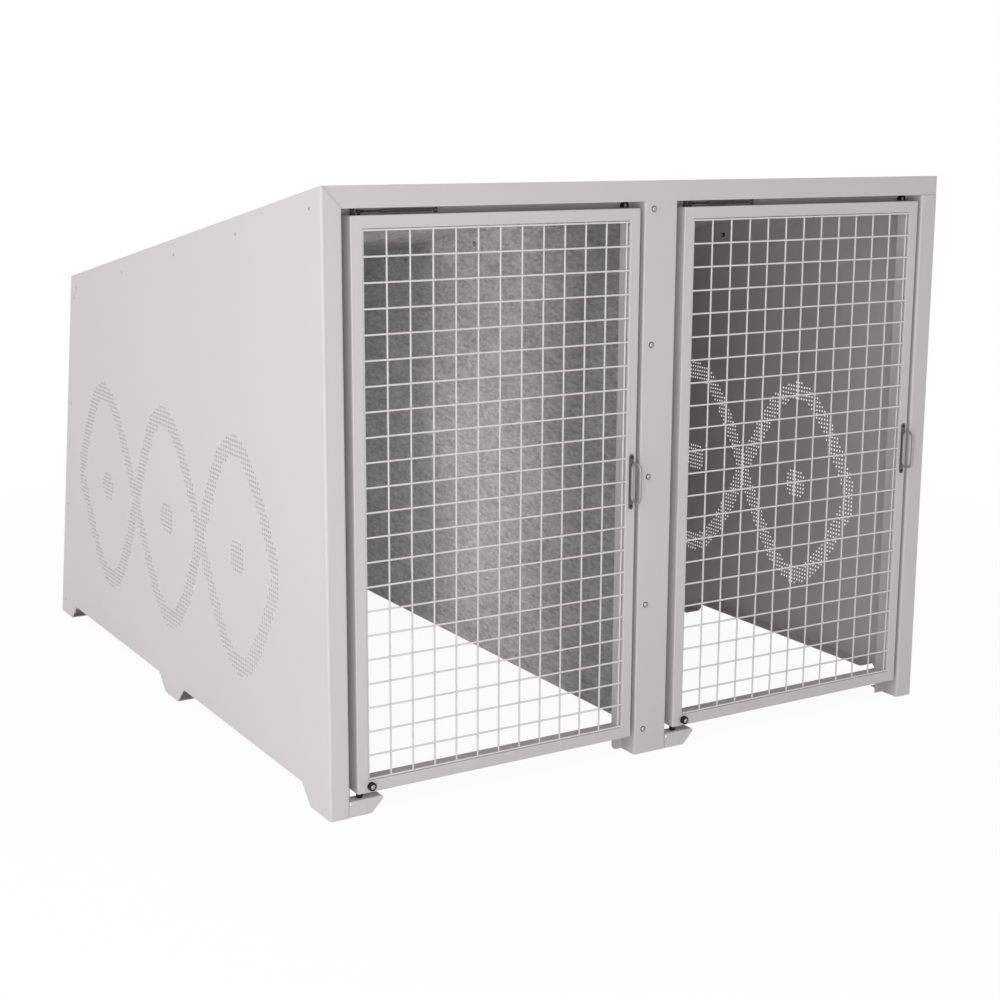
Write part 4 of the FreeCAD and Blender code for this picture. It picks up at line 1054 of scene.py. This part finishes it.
def stay_cylinder(fittings, side, rod_start):
    """Cylinder round the rod, with its eye on the bolt; gives the eye's middle."""
    eye = fittings.eye
    rod = fittings.rod
    low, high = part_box(side + "_strut_tube")
    middle = (low + high) / 2
    bolt = Vector((high.x - eye, middle.y, middle.z))
    item = loose_object(barrel(eye, high.z - low.z, bolt), side + "_cylinder")
    run = bolt.x - low.x
    shoulder = run - fittings.link
    depth = rod_start.x + fittings.rod_length + ROD_END_GAP - low.x
    bore = rod + ROD_PLAY
    profile = ([(0.0, depth), (bore, depth), (bore, 0.0)]
               + drum(fittings.cylinder, 0.0, shoulder, MOUTH_EDGE, TAIL_EDGE, 3, 4)
               + [(rod, shoulder), (rod, run), (0.0, run)])
    combine(item, turned(profile, Vector((low.x, middle.y, middle.z)), X_AXIS), "UNION")
    combine(item, bar(bolt - Z_AXIS * eye, bolt + Z_AXIS * eye, STAY_EYE_HOLE, 20), "DIFFERENCE")
    piece(item, side + "_cylinder", [side + "_strut_tube"])
    return bolt


def stay_bolt(fittings, side, bolt):
    """Bolt through the cylinder's eye, and its nut."""
    shank, nut = sorted(solids(side + "_strut_bolt"), key=lambda ends: ends[0].z)
    low, high = shank
    place = Vector((bolt.x, bolt.y, low.z + STAY_BOLT_HEAD))
    screw = copies(button_screw((high.x - low.x) / 2, STAY_BOLT_HEAD, STAY_BOLT, high.z - place.z,
                                STAY_BOLT_SOCKET), [(Z_AXIS, place)])
    low, high = nut
    hexagon = chamfered_nut(fittings.nut, high.z - low.z, STAY_BOLT * BOLT_PLAY)
    nut = copies(hexagon, [(Z_AXIS, Vector((bolt.x, bolt.y, low.z)))])
    piece(joined([nut, screw]), side + "_stay_bolt", [side + "_strut_bolt"], "dark_fasteners",
          "dark_fasteners")


class LOCKER_OT_stays(bpy.types.Operator):
    """Make the gas stays: stud, rod with its eye, cylinder with its eye, bolt and nut"""
    bl_idname = "locker.stays"
    bl_label = "Gas stays"

    def execute(self, context):
        fittings = context.scene.locker_fittings
        for side in SIDES:
            stay_stud(fittings, side)
            rod_start = stay_rod(fittings, side)
            bolt = stay_cylinder(fittings, side, rod_start)
            stay_bolt(fittings, side, bolt)
        return {"FINISHED"}


# Roofs, backs, partition and middle post

def lengthen_lip(item, low, high, panels):
    """The latch side's stop lip of the middle post goes down to the ground, with a round corner."""
    radius = panels.lip_round
    tip = low.x + panels.lip
    top = panels.lip_bottom + 2 * radius
    points = [(tip, 0.0), (tip, top), (low.x, top)] + arc(radius, (low.x + radius, radius), 180, 270)
    foot = [Vector((x, high.y - panels.sheet, z)) for x, z in points]
    combine(item, prism(foot, Y_AXIS * panels.sheet), "UNION")


class LOCKER_OT_sheets(bpy.types.Operator):
    """Give the middle post, the partition, the roofs and the backs smooth folds"""
    bl_idname = "locker.sheets"
    bl_label = "Folded sheets"

    def execute(self, context):
        panels = context.scene.locker_panels
        behind_reveal = FRONT + panels.reveal * 1.2
        for name in ("mid_post", "partition", "left_roof", "right_roof", "left_back", "right_back"):
            low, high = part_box(name)
            bare = name in ("left_roof", "left_back")
            inside = Vector(((low.x + high.x) / 2, (low.y + high.y) / 2 - INWARD, low.z))
            bm = merged(name)
            bmesh.ops.dissolve_limit(bm, angle_limit=math.radians(1), verts=bm.verts[:],
                                     edges=bm.edges[:])
            for face in bm.faces:
                middle = face.calc_center_median()
                inner = middle.y > behind_reveal and face.normal.dot(inside - middle) > 0
                face.material_index = int(bare and inner)
            item = loose_object(bm, name + "_sheet")
            if name == "mid_post":
                lengthen_lip(item, low, high, panels)
            piece(item, name + "_sheet", [name], SLOTS[name], *["galvanised"] * bare, crease=50)
        return {"FINISHED"}


# Stage

def lamp(name, place, target, size, power):
    data = bpy.data.lights.new(name, "AREA")
    data.shape = "RECTANGLE"
    data.size, data.size_y = size
    data.energy = power
    item = bpy.data.objects.new(name, data)
    bpy.context.scene.collection.objects.link(item)
    item.location = place
    item.rotation_euler = (Vector(target) - Vector(place)).to_track_quat("-Z", "Y").to_euler()
    return item


def seen_directly(tree):
    """1 for rays from the camera and through gloss or glass, 0 for the light that falls on things."""
    path = node(tree, "ShaderNodeLightPath").outputs
    first = maths(tree, "MAXIMUM", path["Is Camera Ray"], path["Is Transmission Ray"])
    return maths(tree, "MAXIMUM", first, path["Is Glossy Ray"])


def lay_floor(stage):
    """Pale floor that is plain white to the camera and matt to the light."""
    bm = bmesh.new()
    bmesh.ops.create_grid(bm, x_segments=2, y_segments=2, size=30.0)
    floor = loose_object(bm, "floor")
    material = bpy.data.materials.new("floor_white")
    material.use_nodes = True
    tree = material.node_tree
    tree.nodes.clear()
    white = node(tree, "ShaderNodeEmission", [("Color", WHITE), ("Strength", 1.0)])
    matt = node(tree, "ShaderNodeBsdfDiffuse", [("Color", (0.9, 0.895, 0.89, 1))])
    away = node(tree, "ShaderNodeVectorMath", [(0, position(tree))], operation="LENGTH").outputs["Value"]
    fade = stretched(tree, away, 1.5, 3.5, stage.floor_white, 1.0, "SMOOTHSTEP")
    share = maths(tree, "MULTIPLY", seen_directly(tree), fade)
    mix = node(tree, "ShaderNodeMixShader", [(0, share), (1, matt.outputs[0]), (2, white.outputs[0])])
    node(tree, "ShaderNodeOutputMaterial", [("Surface", mix.outputs[0])])
    floor.data.materials.append(material)


def hang_sky(stage):
    """Soft light, stronger from above, behind a plain white background."""
    world = bpy.data.worlds.new("studio")
    bpy.context.scene.world = world
    world.use_nodes = True
    tree = world.node_tree
    tree.nodes.clear()
    z = node(tree, "ShaderNodeSeparateXYZ", [(0, position(tree, "Generated"))]).outputs["Z"]
    level = stretched(tree, z, 0.0, 0.9, stage.horizon, stage.sky)
    soft = node(tree, "ShaderNodeBackground", [("Color", WHITE), ("Strength", level)])
    plain = node(tree, "ShaderNodeBackground", [("Color", WHITE), ("Strength", 1.0)])
    mix = node(tree, "ShaderNodeMixShader", [(0, seen_directly(tree)), (1, soft.outputs[0]),
                                             (2, plain.outputs[0])])
    node(tree, "ShaderNodeOutputWorld", [("Surface", mix.outputs[0])])


def place_camera(stage):
    scene = bpy.context.scene
    camera = bpy.data.objects.new("camera", bpy.data.cameras.new("camera"))
    scene.collection.objects.link(camera)
    forward = Vector(stage.aim).normalized()
    across = forward.cross(Vector(stage.upright)).normalized()
    turn = Matrix((across, across.cross(forward), -forward)).transposed().to_4x4()
    camera.matrix_world = Matrix.Translation(stage.place) @ turn
    camera.data.sensor_width = 36.0
    camera.data.lens = stage.lens
    camera.data.shift_y = stage.rise
    camera.data.clip_end = 200.0
    scene.camera = camera


class LOCKER_OT_stage(bpy.types.Operator):
    """Make the floor, the soft light and the camera"""
    bl_idname = "locker.stage"
    bl_label = "Stage"

    def execute(self, context):
        stage = context.scene.locker_stage
        context.scene.view_settings.view_transform = "Standard"
        lay_floor(stage)
        hang_sky(stage)
        lamp("left_lamp", (-4.6, -1.6, 1.9), (-0.8, 0.0, 0.6), (3.0, 2.6), stage.left_lamp)
        lamp("front_lamp", (-2.1, -3.6, 0.8), (-0.2, -0.5, 0.6), (1.4, 1.2), stage.front_lamp)
        inner = lamp("inner_lamp", (-0.72, 0.15, 0.52), (0.0, 0.15, 0.52), (0.84, 1.0), stage.inner_lamp)
        inner.data.spread = math.radians(110)
        inner.visible_camera = False
        inner.visible_glossy = False
        place_camera(stage)
        return {"FINISHED"}


class LOCKER_PT_panel(bpy.types.Panel):
    """Sizes, finishes and steps of the locker"""
    bl_idname = "LOCKER_PT_panel"
    bl_label = "Bicycle Locker"
    bl_space_type = "VIEW_3D"
    bl_region_type = "UI"
    bl_category = "Locker"

    def draw(self, context):
        layout = self.layout
        for settings in SETTINGS:
            box_layout = layout.box()
            box_layout.label(text=settings.title())
            values = getattr(context.scene, "locker_" + settings)
            for key in values.bl_rna.properties.keys():
                if key not in ("rna_type", "name"):
                    box_layout.prop(values, key)
        for step in STEPS:
            layout.operator(step.bl_idname)


SETTINGS = {"panels": LOCKER_PG_panels, "figure": LOCKER_PG_figure, "doors": LOCKER_PG_doors,
            "fittings": LOCKER_PG_fittings, "finishes": LOCKER_PG_finishes, "stage": LOCKER_PG_stage}
STEPS = [LOCKER_OT_stage, LOCKER_OT_finishes, LOCKER_OT_side_panels, LOCKER_OT_sheets,
         LOCKER_OT_door_frames, LOCKER_OT_meshes, LOCKER_OT_handles, LOCKER_OT_fasteners,
         LOCKER_OT_buffers, LOCKER_OT_pivots, LOCKER_OT_stays]


def register():
    for name, settings in SETTINGS.items():
        bpy.utils.register_class(settings)
        setattr(bpy.types.Scene, "locker_" + name, PointerProperty(type=settings))
    for step in STEPS:
        bpy.utils.register_class(step)
    bpy.utils.register_class(LOCKER_PT_panel)


def unregister():
    bpy.utils.unregister_class(LOCKER_PT_panel)
    for step in reversed(STEPS):
        bpy.utils.unregister_class(step)
    for name, settings in reversed(SETTINGS.items()):
        delattr(bpy.types.Scene, "locker_" + name)
        bpy.utils.unregister_class(settings)


def main():
    register()
    for step in STEPS:
        area, name = step.bl_idname.split(".")
        getattr(getattr(bpy.ops, area), name)()


if __name__ == "__main__":
    main()
